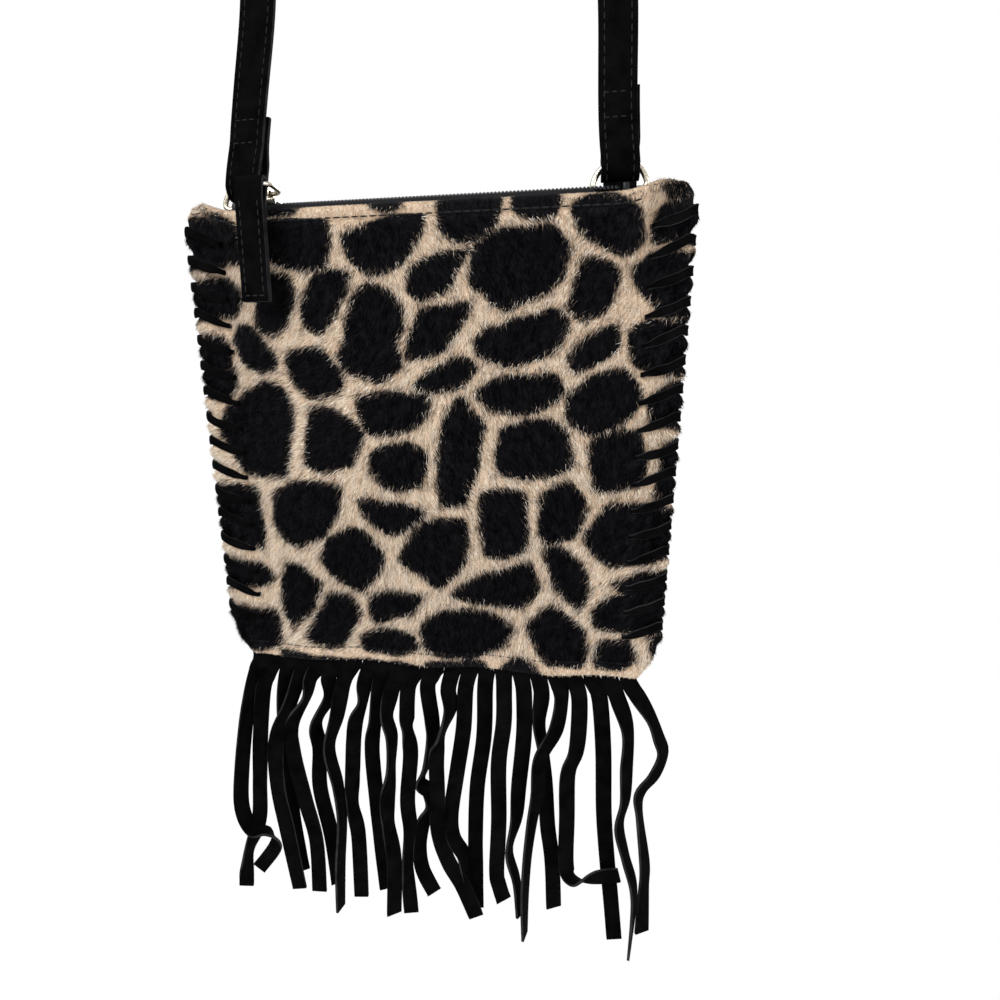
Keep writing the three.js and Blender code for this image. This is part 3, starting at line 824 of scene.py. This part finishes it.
def hairPiece(name, count, side, broad):
    u, t = hairRoots(count)
    root = panelPoint(u, t, side)
    out = outwardAt(u, t, side)
    angle = brushed(root[:, 0], np.maximum(t, 0)) + dice.normal(0, pile["stray"], count)
    comb = np.stack([np.cos(angle), np.zeros(count), np.sin(angle)], -1)
    comb = unit(comb - out * (comb * out).sum(1, keepdims=True))
    least, more = pile["lift"]
    rise = np.radians(least + more * dice.random(count))
    length = hairLengths(u, t, root[:, 0])
    tip = root + length[:, None] * (comb * np.cos(rise)[:, None] + out * np.sin(rise)[:, None])
    width = dice.uniform(*pile["width"], count)[:, None] * broad
    flat = np.cross(comb, out) * width / 2
    low = root - out * pile["sunk"]
    corners = np.stack([low + flat, low - flat, low + out * width * 0.5 + comb * 0.05, tip], 1)
    spike = np.array([[0, 1, 3], [1, 2, 3], [2, 0, 3], [0, 2, 1]])
    index = (spike[None] + 4 * np.arange(count)[:, None, None]).reshape(-1)
    mesh = bpy.data.meshes.new(name)
    mesh.vertices.add(4 * count)
    mesh.vertices.foreach_set("co", (corners.reshape(-1) * mm).astype(np.float32))
    mesh.loops.add(12 * count)
    mesh.loops.foreach_set("vertex_index", index.astype(np.int32))
    mesh.polygons.add(4 * count)
    mesh.polygons.foreach_set("loop_start", np.arange(0, 12 * count, 3, dtype=np.int32))
    made = added(name, mesh, "bag", hairColors)
    tones = hairTones(root, tip, t, side)
    mesh.polygons.foreach_set("material_index", np.repeat(tones, 4).astype(np.int32))
    mesh.update()
    mesh.validate()
    return made


share = 1
perPiece = int(pile["perPiece"] * share)
frontPile = [hairPiece(f"frontPile{i}", perPiece, -1, 1.0) for i in range(pile["front"])]
backPile = [hairPiece(f"backPile{i}", perPiece, 1, pile["backBroad"]) for i in range(pile["back"])]
print("pile brushed")


# strap: folded through each ring, a quarter turn in each run, flat over the bend
strap = {
    "drop": 410.0,
    "width": 12.7,
    "thickness": 1.9,
    "spread": 67.5,
    "bend": 27.0,
    "fold": 24.0,
    "loop": 2.4,
    "loopStretch": 1.2,
    "tailShift": 0.9,
    "bow": 3.0,
    "bowStart": (5, 60),
    "bowEnd": (140, 320),
    "stations": 120,
    "wornEdge": 0.3,
    "stitchInset": 2.0,
    "edgeStitch": (2.4, 0.9, 0.2),  # length, gap and radius
    "rowStitch": (2.0, 0.7, 0.22),
    "rows": (14.5, 22.0),
}


# one half, from its folded tail round the ring up to the bend; way is 1 on the right, -1 on the left
def strapHalf(way):
    ply = strap["thickness"] / 2 + 0.1
    circle = strap["loop"] + strap["thickness"] / 2
    bend = strap["bend"] + strap["thickness"] / 2
    lean = (strap["spread"] - bend) / (strap["drop"] - strap["bend"])
    tail = [(ply, strap["fold"]), (ply, 19), (ply, 14), (ply + 0.9, 9), (circle - 0.4, 4)]
    turns = [math.pi * k / 12 for k in range(13)]
    low = -strap["loopStretch"] * circle
    loop = [(circle * math.cos(turn), low * math.sin(turn)) for turn in turns]
    rise = [(-y, above) for y, above in reversed(tail)]
    half = []

    def sideAt(above):
        bowing = smooth(above, *strap["bowStart"]) * (1 - smooth(above, *strap["bowEnd"]))
        return strap["spread"] - lean * max(above, 0) + way * (strap["bow"] * float(bowing))

    outline = [(way * strap["tailShift"] if y > 0 else 0, y, above) for y, above in tail + loop + rise]
    for p in smoothLine(outline, 1.5):
        across = Vector((1, 0, lean * float(smooth(p.z, 2, 14)))).normalized()
        x = sideAt(p.z) + p.x * float(smooth(p.z, 2, 9))
        half.append((Vector((x, p.y, p.z - strap["drop"])), across))
    start = strap["fold"] + 8
    for k in range(strap["stations"] + 1):
        t = k / strap["stations"]
        turn = math.pi / 2 * float(smooth(t, 0.1, 0.95))
        above = lerp(start, strap["drop"] - strap["bend"], t)
        y = -ply * (1 - float(smooth(t, 0, 0.1)))
        across = Vector((math.cos(turn), -math.sin(turn), lean * math.cos(turn))).normalized()
        half.append((Vector((sideAt(above), y, above - strap["drop"])), across))
    for degrees in range(5, 90, 5):
        angle = math.radians(degrees)
        centre = Vector((bend * math.cos(angle), 0, bend * math.sin(angle) - strap["bend"]))
        half.append((centre, Vector((0, -1, 0))))
    return half


flipX = Vector((-1, 1, 1))
leftHalf = [(c * flipX, a * flipX) for c, a in reversed(strapHalf(-1))]
strapTop = (Vector((0, 0, strap["thickness"] / 2)), Vector((0, -1, 0)))
strapLine = strapHalf(1) + [strapTop] + leftHalf
strapPiece = suedeBand("strap", "strap", "shoulder_strap", strapLine, strap)
strapLength = lengthOf([centre for centre, _ in strapLine]) * mm

strapPlaces = []
strapFaces = facesOf(strapLine)
inset = strap["width"] / 2 - strap["stitchInset"]
onFace = strap["thickness"] / 2 + 0.05
for sideways in (-1, 1):
    for face in (-1, 1):
        row = [(c + a * (sideways * inset) + f * (face * onFace), f * face)
               for (c, a), f in zip(strapLine, strapFaces)]
        strapPlaces += stitchesAlong(row, *strap["edgeStitch"])
rowLean = (strap["spread"] - strap["bend"]) / (strap["drop"] - strap["bend"])
for end in (-1, 1):
    for high in strap["rows"]:
        bowed = strap["bow"] * float(smooth(high, *strap["bowStart"]))
        centre = end * (strap["spread"] - rowLean * high) + bowed
        for y in (-1, 1):
            depth = y * (strap["thickness"] + 0.15)
            row = [(Vector((centre + x, depth, high - strap["drop"])), Vector((0, y, 0)))
                   for x in np.linspace(-inset, inset, 5)]
            strapPlaces += stitchesAlong(row, *strap["rowStitch"])
strapStitches = repeated("strapStitches", bead(6, 4), strapPlaces, "strap", [thread])
print("strap hung", round(strapLength, 3))


# rings and the suede tabs that hold them
for hand in ("left", "right"):
    copyOf(f"{hand}_ring", f"{hand}Ring", nickel, levels=2)
tabs = {
    "width": 11.0,
    "thickness": 1.0,
    "wornEdge": 0.15,
    "y": 5.0,
    "knee": -2.6,
    "bar": 1.2,
    "depth": 6.0,
    "wire": 1.4,
}


def ringTab(name, side):
    wrap = tabs["wire"] + tabs["thickness"] / 2
    ply = tabs["thickness"] / 2 + 0.08
    outside, within = tabs["y"] + ply, tabs["y"] - ply
    knee = tabs["knee"] - tabs["bar"]
    lean = math.atan2(-knee, tabs["y"])
    bar = body["top"] + tabs["bar"]
    low = -tabs["bar"] - tabs["depth"]
    line = [(outside, low), (outside, knee - 1), (outside - 0.6, knee + 0.6)]
    for k in range(9):
        angle = math.pi / 2 - lean + math.pi * k / 8
        line.append((wrap * math.cos(angle), wrap * math.sin(angle)))
    line += [(within - 0.5, knee - 0.2), (within, knee - 1.4), (within, low)]
    points = smoothLine([(side * strap["spread"], y, bar + z) for y, z in line], 0.8)
    stations = [(p, Vector((1, 0, 0))) for p in points]
    made = suedeBand(name, "bag", f"{handOf(side)}_ring_tab", stations, tabs)
    flat = (tabs["width"] * mm, lengthOf(points) * mm)


ringTab("leftRingTab", -1)
ringTab("rightRingTab", 1)
print("rings held")


# zip: coil, tapes, stops, slider and pull
zipper = {
    "y": -4.9,
    "half": 68.0,
    "inset": 0.7,
    "pitch": 1.3,
    "apart": 0.82,
    "rise": 0.25,
    "tilt": 0.32,
    "tooth": (0.64, 1.05, 1.05),
    "slider": -57.4,
    "bar": 4.6,
    "rounded": 0.25,
}
coilPlaces = []
coilHalf = zipper["half"] - zipper["inset"]
for i in range(int(2 * coilHalf / zipper["pitch"]) + 1):
    x = i * zipper["pitch"] - coilHalf
    for half in (-1, 1):
        y = zipper["y"] + half * zipper["apart"]
        at = Vector((x + half * zipper["pitch"] / 4, y, body["top"] + zipper["rise"])) * mm
        turn = Matrix.Rotation(half * zipper["tilt"], 4, "Z")
        coilPlaces.append(Matrix.Translation(at) @ turn @ Matrix.Diagonal((*zipper["tooth"], 1)))
coil = repeated("zipCoil", bead(8, 5), coilPlaces, "bag", [coilNylon])
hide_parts("zip_coil")
for node, cloth in (("zip_tape_front", zipCloth), ("zip_tape_back", zipCloth), ("lining", liningCloth)):
    nodes[node].data.materials.clear()
    nodes[node].data.materials.append(cloth)
for node, name in (("zip_stop_left", "leftStop"), ("zip_stop_right", "rightStop")):
    copyOf(node, name, coilNylon, bevel=zipper["rounded"])
for node, name in (("zip_slider", "sliderTop"), ("zip_slider_foot", "sliderFoot")):
    copyOf(node, name, nickel, bevel=zipper["rounded"])

pull = {
    "width": 10.0,
    "thickness": 1.4,
    "wornEdge": 0.25,
    "reach": 11.0,
    "rise": 0.8,
    "wire": 1.1,
    "y": -17.8,
    "above": 5,
    "drop": 39.0,
    "link": 5.8,
    "corner": 3.4,
    "linkWire": 0.8,
    "stitchInset": 1.7,
    "sideStitch": (2.3, 0.8, 0.24),  # length, gap and radius
    "endStitch": (2.0, 0.6, 0.24),
}


# wire link with rounded corners between the slider's bridge and the suede
def pullLink():
    corner = pull["corner"]
    side, end = pull["link"] - corner, pull["reach"] - corner
    origin = Vector((zipper["slider"], zipper["y"], body["top"] + zipper["bar"]))
    line = []
    for x, y, start in ((side, corner, -90), (side, end, 0), (-side, end, 90), (-side, corner, 180)):
        for step in range(8):
            angle = math.radians(start + step * 90 / 7)
            line.append(Vector((x + corner * math.cos(angle), -y - corner * math.sin(angle), 0)))

    def place(u, v):
        k = round(v * len(line))
        centre = line[k % len(line)]
        along = (line[(k + 1) % len(line)] - line[(k - 1) % len(line)]).normalized()
        angle = 2 * math.pi * u
        out = along.cross(Vector((0, 0, 1))) * math.cos(angle) + Vector((0, 0, math.sin(angle)))
        tilt = Vector((0, 0, -centre.y / pull["reach"] * pull["rise"]))
        return origin + centre + tilt + out * pull["linkWire"]

    bm = bmesh.new()
    shapedGrid(bm, 10, len(line), place)
    bmesh.ops.remove_doubles(bm, verts=bm.verts, dist=1e-7)
    bmesh.ops.recalc_face_normals(bm, faces=bm.faces)
    made = keep("pullLink", bm, "zip_pull", [nickel])
    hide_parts("pull_link")


# suede folded over the link and stitched through both plies
def pullTab():
    barY = zipper["y"] - pull["reach"]
    barZ = body["top"] + zipper["bar"] + pull["rise"]
    wrap = pull["wire"] + pull["thickness"] / 2
    ply = pull["thickness"] / 2 + 0.08
    front, back = pull["y"] - ply, pull["y"] + ply
    top = body["top"]
    bottom = top + pull["above"] - pull["drop"]
    line = [(front, bottom), (front, bottom + 14), (front, top - 12), (front, top + 1)]
    for degrees in range(190, -11, -20):
        angle = math.radians(degrees)
        line.append((barY + wrap * math.cos(angle), barZ + wrap * math.sin(angle)))
    line += [(barY + 0.4, barZ - 3.6), (back, top - 4.5), (back, top - 14)]
    line += [(back, bottom + 12), (back, bottom)]
    points = smoothLine([(zipper["slider"], y, z) for y, z in line], 1.2)
    stations = [(p, Vector((1, 0, 0))) for p in points]
    made = suedeBand("pullTab", "zip_pull", "pull_tab", stations, pull)
    places = []
    face = pull["y"] - 2 * ply + 0.05
    outward = Vector((0, -1, 0))
    for sideways in (-1, 1):
        x = zipper["slider"] + sideways * (pull["width"] / 2 - pull["stitchInset"])
        row = [(Vector((x, face, z)), outward) for z in np.linspace(top - 1, bottom + 2, 12)]
        places += stitchesAlong(row, *pull["sideStitch"])
    across = zipper["slider"] + np.linspace(-3.1, 3.1, 4)
    row = [(Vector((x, face, bottom + 2)), outward) for x in across]
    places += stitchesAlong(row, *pull["endStitch"])
    stitches = repeated("pullStitches", bead(6, 4), places, "zip_pull", [thread])
    flat = (pull["width"] * mm, lengthOf(points) * mm)


pullLink()
pullTab()
print("zip fitted")


def holeAt(depth):
    return float(halfWidthAt(np.array(depth))) - lace["reach"]


# lacing: one thong on each side, over the front, round the edge and down the back to the next hole
def lacing(name, side):
    lift, rise = lace["lift"], lace["rise"]
    points = []
    for i in range(lace["turns"]):
        depth = lace["lowest"] - i * lace["pitch"]
        edge = float(halfWidthAt(np.array(depth - rise)))
        hole = holeAt(depth)
        drift = lace["drift"] * math.sin(i * 2.3 + side)
        points += [
            (hole, lift - 0.2, -depth),
            (hole - 0.6, 0, -depth),
            (hole, 0.3 - lift, -depth + 0.1),
            (hole + 1.4, -lift - 0.1, -depth + 0.6),
            (lerp(hole, edge, 0.6), -lift - 0.2, rise * 0.6 - depth + drift),
            (edge - 1.6, 0.2 - lift, rise - depth + drift),
            (edge + 0.1, 1.4 - lift, rise + 0.3 - depth),
            (edge + 0.4, 0, rise + lace["edgeStep"] - depth),
            (edge + 0.1, lift - 1.4, rise + 0.9 - depth),
            (edge - 1.6, lift - 0.1, rise + 1.2 - depth),
            (lerp(hole, edge, 0.5), lift + 0.1, rise + 2.6 - depth),
        ]
    points[-1] = (hole + 9, lift, rise + 2 - depth)
    line = smoothLine([(side * x, y, body["top"] + z) for x, y, z in points], 1.1)
    stations = []
    for p in line:
        hole = holeAt(body["top"] - p.z)
        pinched = 0.5 + 0.5 * float(smooth(abs(p.x), hole, hole + 5))
        stations.append((p, Vector((0, 0, pinched))))
    suedeBand(name, "bag", f"{handOf(side)}_lacing", stations, lace, 4, lace["cup"])
    return lengthOf(line) * mm


laceLength = lacing("leftLacing", -1)
lacing("rightLacing", 1)
print("sides laced", round(laceLength, 3))


# fringe: one sheet cut into strands; each strand passes through (across, below the bag, turn in degrees)
fringe = {
    "half": 80.0,
    "heading": 11.0,
    "uncut": 2.0,
    "cut": 0.5,
    "lane": 3.0,
    "thickness": 1.1,
    "wornEdge": 0.18,
    "headRows": 4,
    "slant": 0.5,
    "flatLength": 0.145,
    "strands": [
        [(-79, 6, 20), (-83, 22, 55), (-88, 50, 50), (-90, 71, 40), (-86, 82, 60), (-78, 83, 110),
         (-75, 89, 160), (-84, 102, 180)],
        [(-74, 8, 0), (-77, 16, 35), (-80, 38, 20), (-82, 60, 0), (-84, 80, 20), (-91, 99, 75),
         (-93, 115, 10)],
        [(-66, 8, 30), (-70, 27, 70), (-69, 51, 60), (-69, 76, 50), (-67, 98, 40), (-66, 106, 30)],
        [(-60, 9, 40), (-64, 20, 50), (-71, 37, 20), (-72, 59, 0), (-69, 81, 10), (-65, 110, 0)],
        [(-55, 9, 50), (-57, 17, 75), (-65, 31, 40), (-65, 45, 15), (-61, 67, 10), (-57, 87, 0),
         (-57, 113, 10)],
        [(-47, 8, 20), (-47, 17, 45), (-55, 31, 65), (-54, 43, 30), (-55, 62, 10), (-51, 86, 20),
         (-49, 110, 30)],
        [(-40, 9, 10), (-43, 24, 45), (-47, 39, 70), (-44, 56, 75), (-43, 73, 78), (-45, 96, 75),
         (-46, 118, 82)],
        [(-31, 9, 30), (-32, 17, 70), (-36, 28, 30), (-38, 48, 10), (-39, 67, 65), (-37, 82, 25),
         (-37, 113, 0)],
        [(-25, 11, 30), (-28, 27, 55), (-30, 41, 20), (-29, 65, 10), (-28, 83, 0), (-26, 110, 35)],
        [(-19, 11, 10), (-21, 22, 60), (-19, 31, 65), (-20, 46, 75), (-22, 61, 30), (-22, 73, 60),
         (-20, 90, 25), (-21, 117, 30)],
        [(-12, 9, 10), (-13, 21, 20), (-13, 29, 70), (-12, 40, 20), (-14, 62, 10), (-13, 78, 30),
         (-15, 94, 65), (-14, 118, 20)],
        [(-4, 9, 20), (-3, 25, 35), (-3, 33, 55), (-6, 47, 75), (-9, 55, 70), (-5, 59, 40),
         (-5, 65, 75), (-8, 74, 40), (-10, 87, 45), (-9, 98, 30), (-4, 109, 10)],
        [(5, 9, 10), (6, 17, 50), (2, 29, 75), (0, 38, 25), (0, 56, 0), (0, 73, 35), (4, 87, 25),
         (10, 98, 20), (16, 113, 20)],
        [(12, 9, 0), (11, 26, 15), (8, 46, 20), (5, 67, 20), (6, 78, 45), (10, 85, 50),
         (11, 91, 60), (12, 101, 70)],
        [(20, 9, 0), (19, 31, 0), (16, 54, 10), (15, 78, 10), (15, 96, 5), (15, 114, 20)],
        [(28, 9, 5), (28, 21, 15), (26, 39, 20), (26, 65, 15), (25, 89, 10), (26, 96, 20),
         (28, 103, 20)],
        [(36, 9, 0), (36, 27, 10), (34, 50, 25), (33, 66, 50), (30, 82, 75), (33, 95, 78),
         (35, 112, 65)],
        [(43, 9, 10), (42, 23, 50), (44, 37, 60), (45, 53, 30), (46, 70, 20), (48, 86, 0),
         (49, 109, 20)],
        [(51, 9, 40), (49, 22, 30), (43, 35, 35), (42, 51, 40), (40, 63, 55), (38, 81, 65),
         (37, 100, 70), (37, 120, 80)],
        [(58, 9, 0), (58, 22, 10), (57, 33, 25), (54, 43, 25), (54, 64, 0), (54, 84, 10),
         (56, 91, 70), (61, 92, 130), (68, 89, 175), (76, 87, 180)],
        [(66, 9, 0), (68, 32, 0), (69, 60, 0), (71, 83, 0), (73, 101, 0), (75, 121, 10)],
        [(73, 8, 10), (77, 20, 50), (77, 36, 45), (77, 50, 55), (75, 62, 60), (78, 76, 70),
         (82, 93, 70), (81, 122, 80)],
        [(81, 7, 30), (86, 15, 60), (89, 23, 55), (91, 30, 50), (88, 40, 40), (83, 48, 45),
         (83, 58, 70), (86, 81, 55), (86, 93, 50), (86, 113, 30)],
    ],
}


def strandStations(root, path, lane, bottom):
    line = smoothLine([(root, 0, 0), (lerp(root, path[0][0], 0.4), 3, 0), *path], 2.2)
    stations = []
    for k, spot in enumerate(line):
        before, after = line[max(k - 1, 0)], line[min(k + 1, len(line) - 1)]
        along = Vector((after.x - before.x, 0, before.y - after.y)).normalized()
        turn = math.radians(spot.z)
        across = Vector((-along.z, 0, along.x)) * math.cos(turn) + Vector((0, math.sin(turn), 0))
        layer = lane * float(smooth(spot.y, 0, 30))
        stations.append((Vector((spot.x, layer, bottom - fringe["uncut"] - spot.y)), across))
    return stations


def fringePiece():
    pitch = 2 * fringe["half"] / len(fringe["strands"])
    bottom = body["top"] - body["height"]
    headRows = fringe["headRows"]
    bm = bmesh.new()
    area = 0
    for i, path in enumerate(fringe["strands"]):
        root = (i + 0.5) * pitch - fringe["half"]
        stations = strandStations(root, path, ((i % 3) - 1) * fringe["lane"], bottom)
        rows = len(stations) - 1

        def place(u, v):
            row = round(v * (rows + headRows))
            side = 2 * u - 1
            if row < headRows:
                z = bottom + fringe["heading"] - (fringe["heading"] + fringe["uncut"]) * row / headRows
                return Vector((root + side * pitch / 2, 0, z))
            k = row - headRows
            centre, across = stations[k]
            narrow = pitch - fringe["cut"] * min(1, k)
            slant = Vector((0, 0, fringe["slant"] * math.sin(3 * i) * side * (k == rows)))
            return centre + across * (side * narrow / 2) + slant

        shapedGrid(bm, 4, rows + headRows, place)
        long = lengthOf([centre for centre, _ in stations])
        area += pitch * (long + fringe["heading"] + fringe["uncut"]) * mm * mm
    bmesh.ops.remove_doubles(bm, verts=bm.verts, dist=1e-6)
    made = suedePiece("cutFringe", bm, "bag", "fringe", fringe["thickness"], fringe["wornEdge"])
    flat = (2 * fringe["half"] * mm, fringe["flatLength"])
    min(area, flat[0] * flat[1])


fringePiece()
print("fringe cut")

# hem and seam stitching: each row has its depth, its share of the width and how far out it lies
seams = {
    "rows": ((body["hemLine"], 0.82, 1.1), (body["seamLine"], 0.9, 0.35)),
    "spots": 90,
    "stitch": (3.0, 0.3, 0.3),
}
hemPlaces = []
for side in (-1, 1):
    outward = Vector((0, side, 0))
    for depth, spread, lift in seams["rows"]:
        down = np.array(depth + body["rollSlack"])
        across = np.linspace(-spread, spread, seams["spots"])
        row = [(Vector(panelPoint(np.array(u), down, side)) + outward * lift, outward) for u in across]
        hemPlaces += stitchesAlong(row, *seams["stitch"])
repeated("hemStitches", bead(6, 4), hemPlaces, "bag", [thread])
print("hems stitched")


# stage, light and camera
studio = {
    "middle": (0, 0, -0.53),
    "key": ((-0.55, -0.9, 0.22), 0.6, 14),  # place, size and power
    "fill": ((0.9, -0.7, -0.33), 0.8, 6.5),
    "rim": ((0.3, 0.9, -0.03), 0.6, 6),
    "ambient": 0.55,
    "floorColor": (0.95, 0.95, 0.95),
    "floorDepth": -1.0,
    "floorHalf": 4,
}


def light(name, place, size, power):
    lamp = bpy.data.lights.new(name, "AREA")
    lamp.shape = "DISK"
    lamp.size = size
    lamp.energy = power
    made = linked(name, lamp)
    made.location = place
    made.rotation_euler = (Vector(studio["middle"]) - Vector(place)).to_track_quat("-Z", "Y").to_euler()


# metal sees the same white backdrop as the camera does
def seenWhite(tree):
    path = tree.nodes.new("ShaderNodeLightPath").outputs
    rays = ("Camera", "Glossy", "Transmission")
    direct, glossy, through = (Wire(tree, path[f"Is {ray} Ray"]) for ray in rays)
    return direct.sum("MAXIMUM", direct.sum("MAXIMUM", direct, glossy), through)


for name in ("key", "fill", "rim"):
    light(name, *studio[name])

world = bpy.data.worlds.new("studio")
bpy.context.scene.world = world
world.use_nodes = True
sky = world.node_tree.nodes["Background"]
sky.inputs["Color"].default_value = (1, 1, 1, 1)
strength = seenWhite(world.node_tree) * (1 - studio["ambient"]) + studio["ambient"]
world.node_tree.links.new(strength.socket, sky.inputs["Strength"])

# the camera sees the floor as white as the backdrop
floorLook, floorAt, floorShader = finish("floorPaint", studio["floorColor"], roughness=0.8, specular=0.2)
floorTree = floorLook.node_tree
seen = seenWhite(floorTree)
glow = floorAt.node("ShaderNodeEmission", {}, {"Color": (1, 1, 1, 1), "Strength": 1.0})
paint = Wire(floorTree, floorShader.outputs[0])
seenFloor = floorAt.node("ShaderNodeMixShader", {}, {0: seen, 1: paint, 2: glow})
floorTree.links.new(seenFloor.socket, floorTree.nodes["Material Output"].inputs["Surface"])
bm = bmesh.new()
level = Matrix.Translation((0, 0, studio["floorDepth"]))
bmesh.ops.create_grid(bm, x_segments=1, y_segments=1, size=studio["floorHalf"], matrix=level)
mesh = bpy.data.meshes.new("floor")
bm.to_mesh(mesh)
bm.free()
mesh.materials.append(floorLook)
floor = linked("floor", mesh)

shot = {
    "place": (0.059, -0.2406, -0.4773),
    "azimuth": 9.5,
    "elevation": 11.2,
    "roll": -0.5,
    "focal": 650.0,  # in pixels of a picture 1000 wide
    "shift": 0.02,
    "sensor": 36,
}
eye = bpy.data.cameras.new("camera")
eye.sensor_width = shot["sensor"]
eye.lens = shot["focal"] / 1000 * shot["sensor"]
eye.shift_x = shot["shift"]
eye.clip_start = 0.01
camera = linked("camera", eye)
az, el = math.radians(shot["azimuth"]), math.radians(shot["elevation"])
look = Vector((-math.sin(az) * math.cos(el), math.cos(az) * math.cos(el), -math.sin(el)))
facing = Matrix.Translation(shot["place"]) @ look.to_track_quat("-Z", "Y").to_matrix().to_4x4()
camera.matrix_world = facing @ Matrix.Rotation(math.radians(shot["roll"]), 4, "Z")
bpy.context.scene.camera = camera
bpy.context.scene.view_settings.view_transform = "Standard"
print("lit and framed")
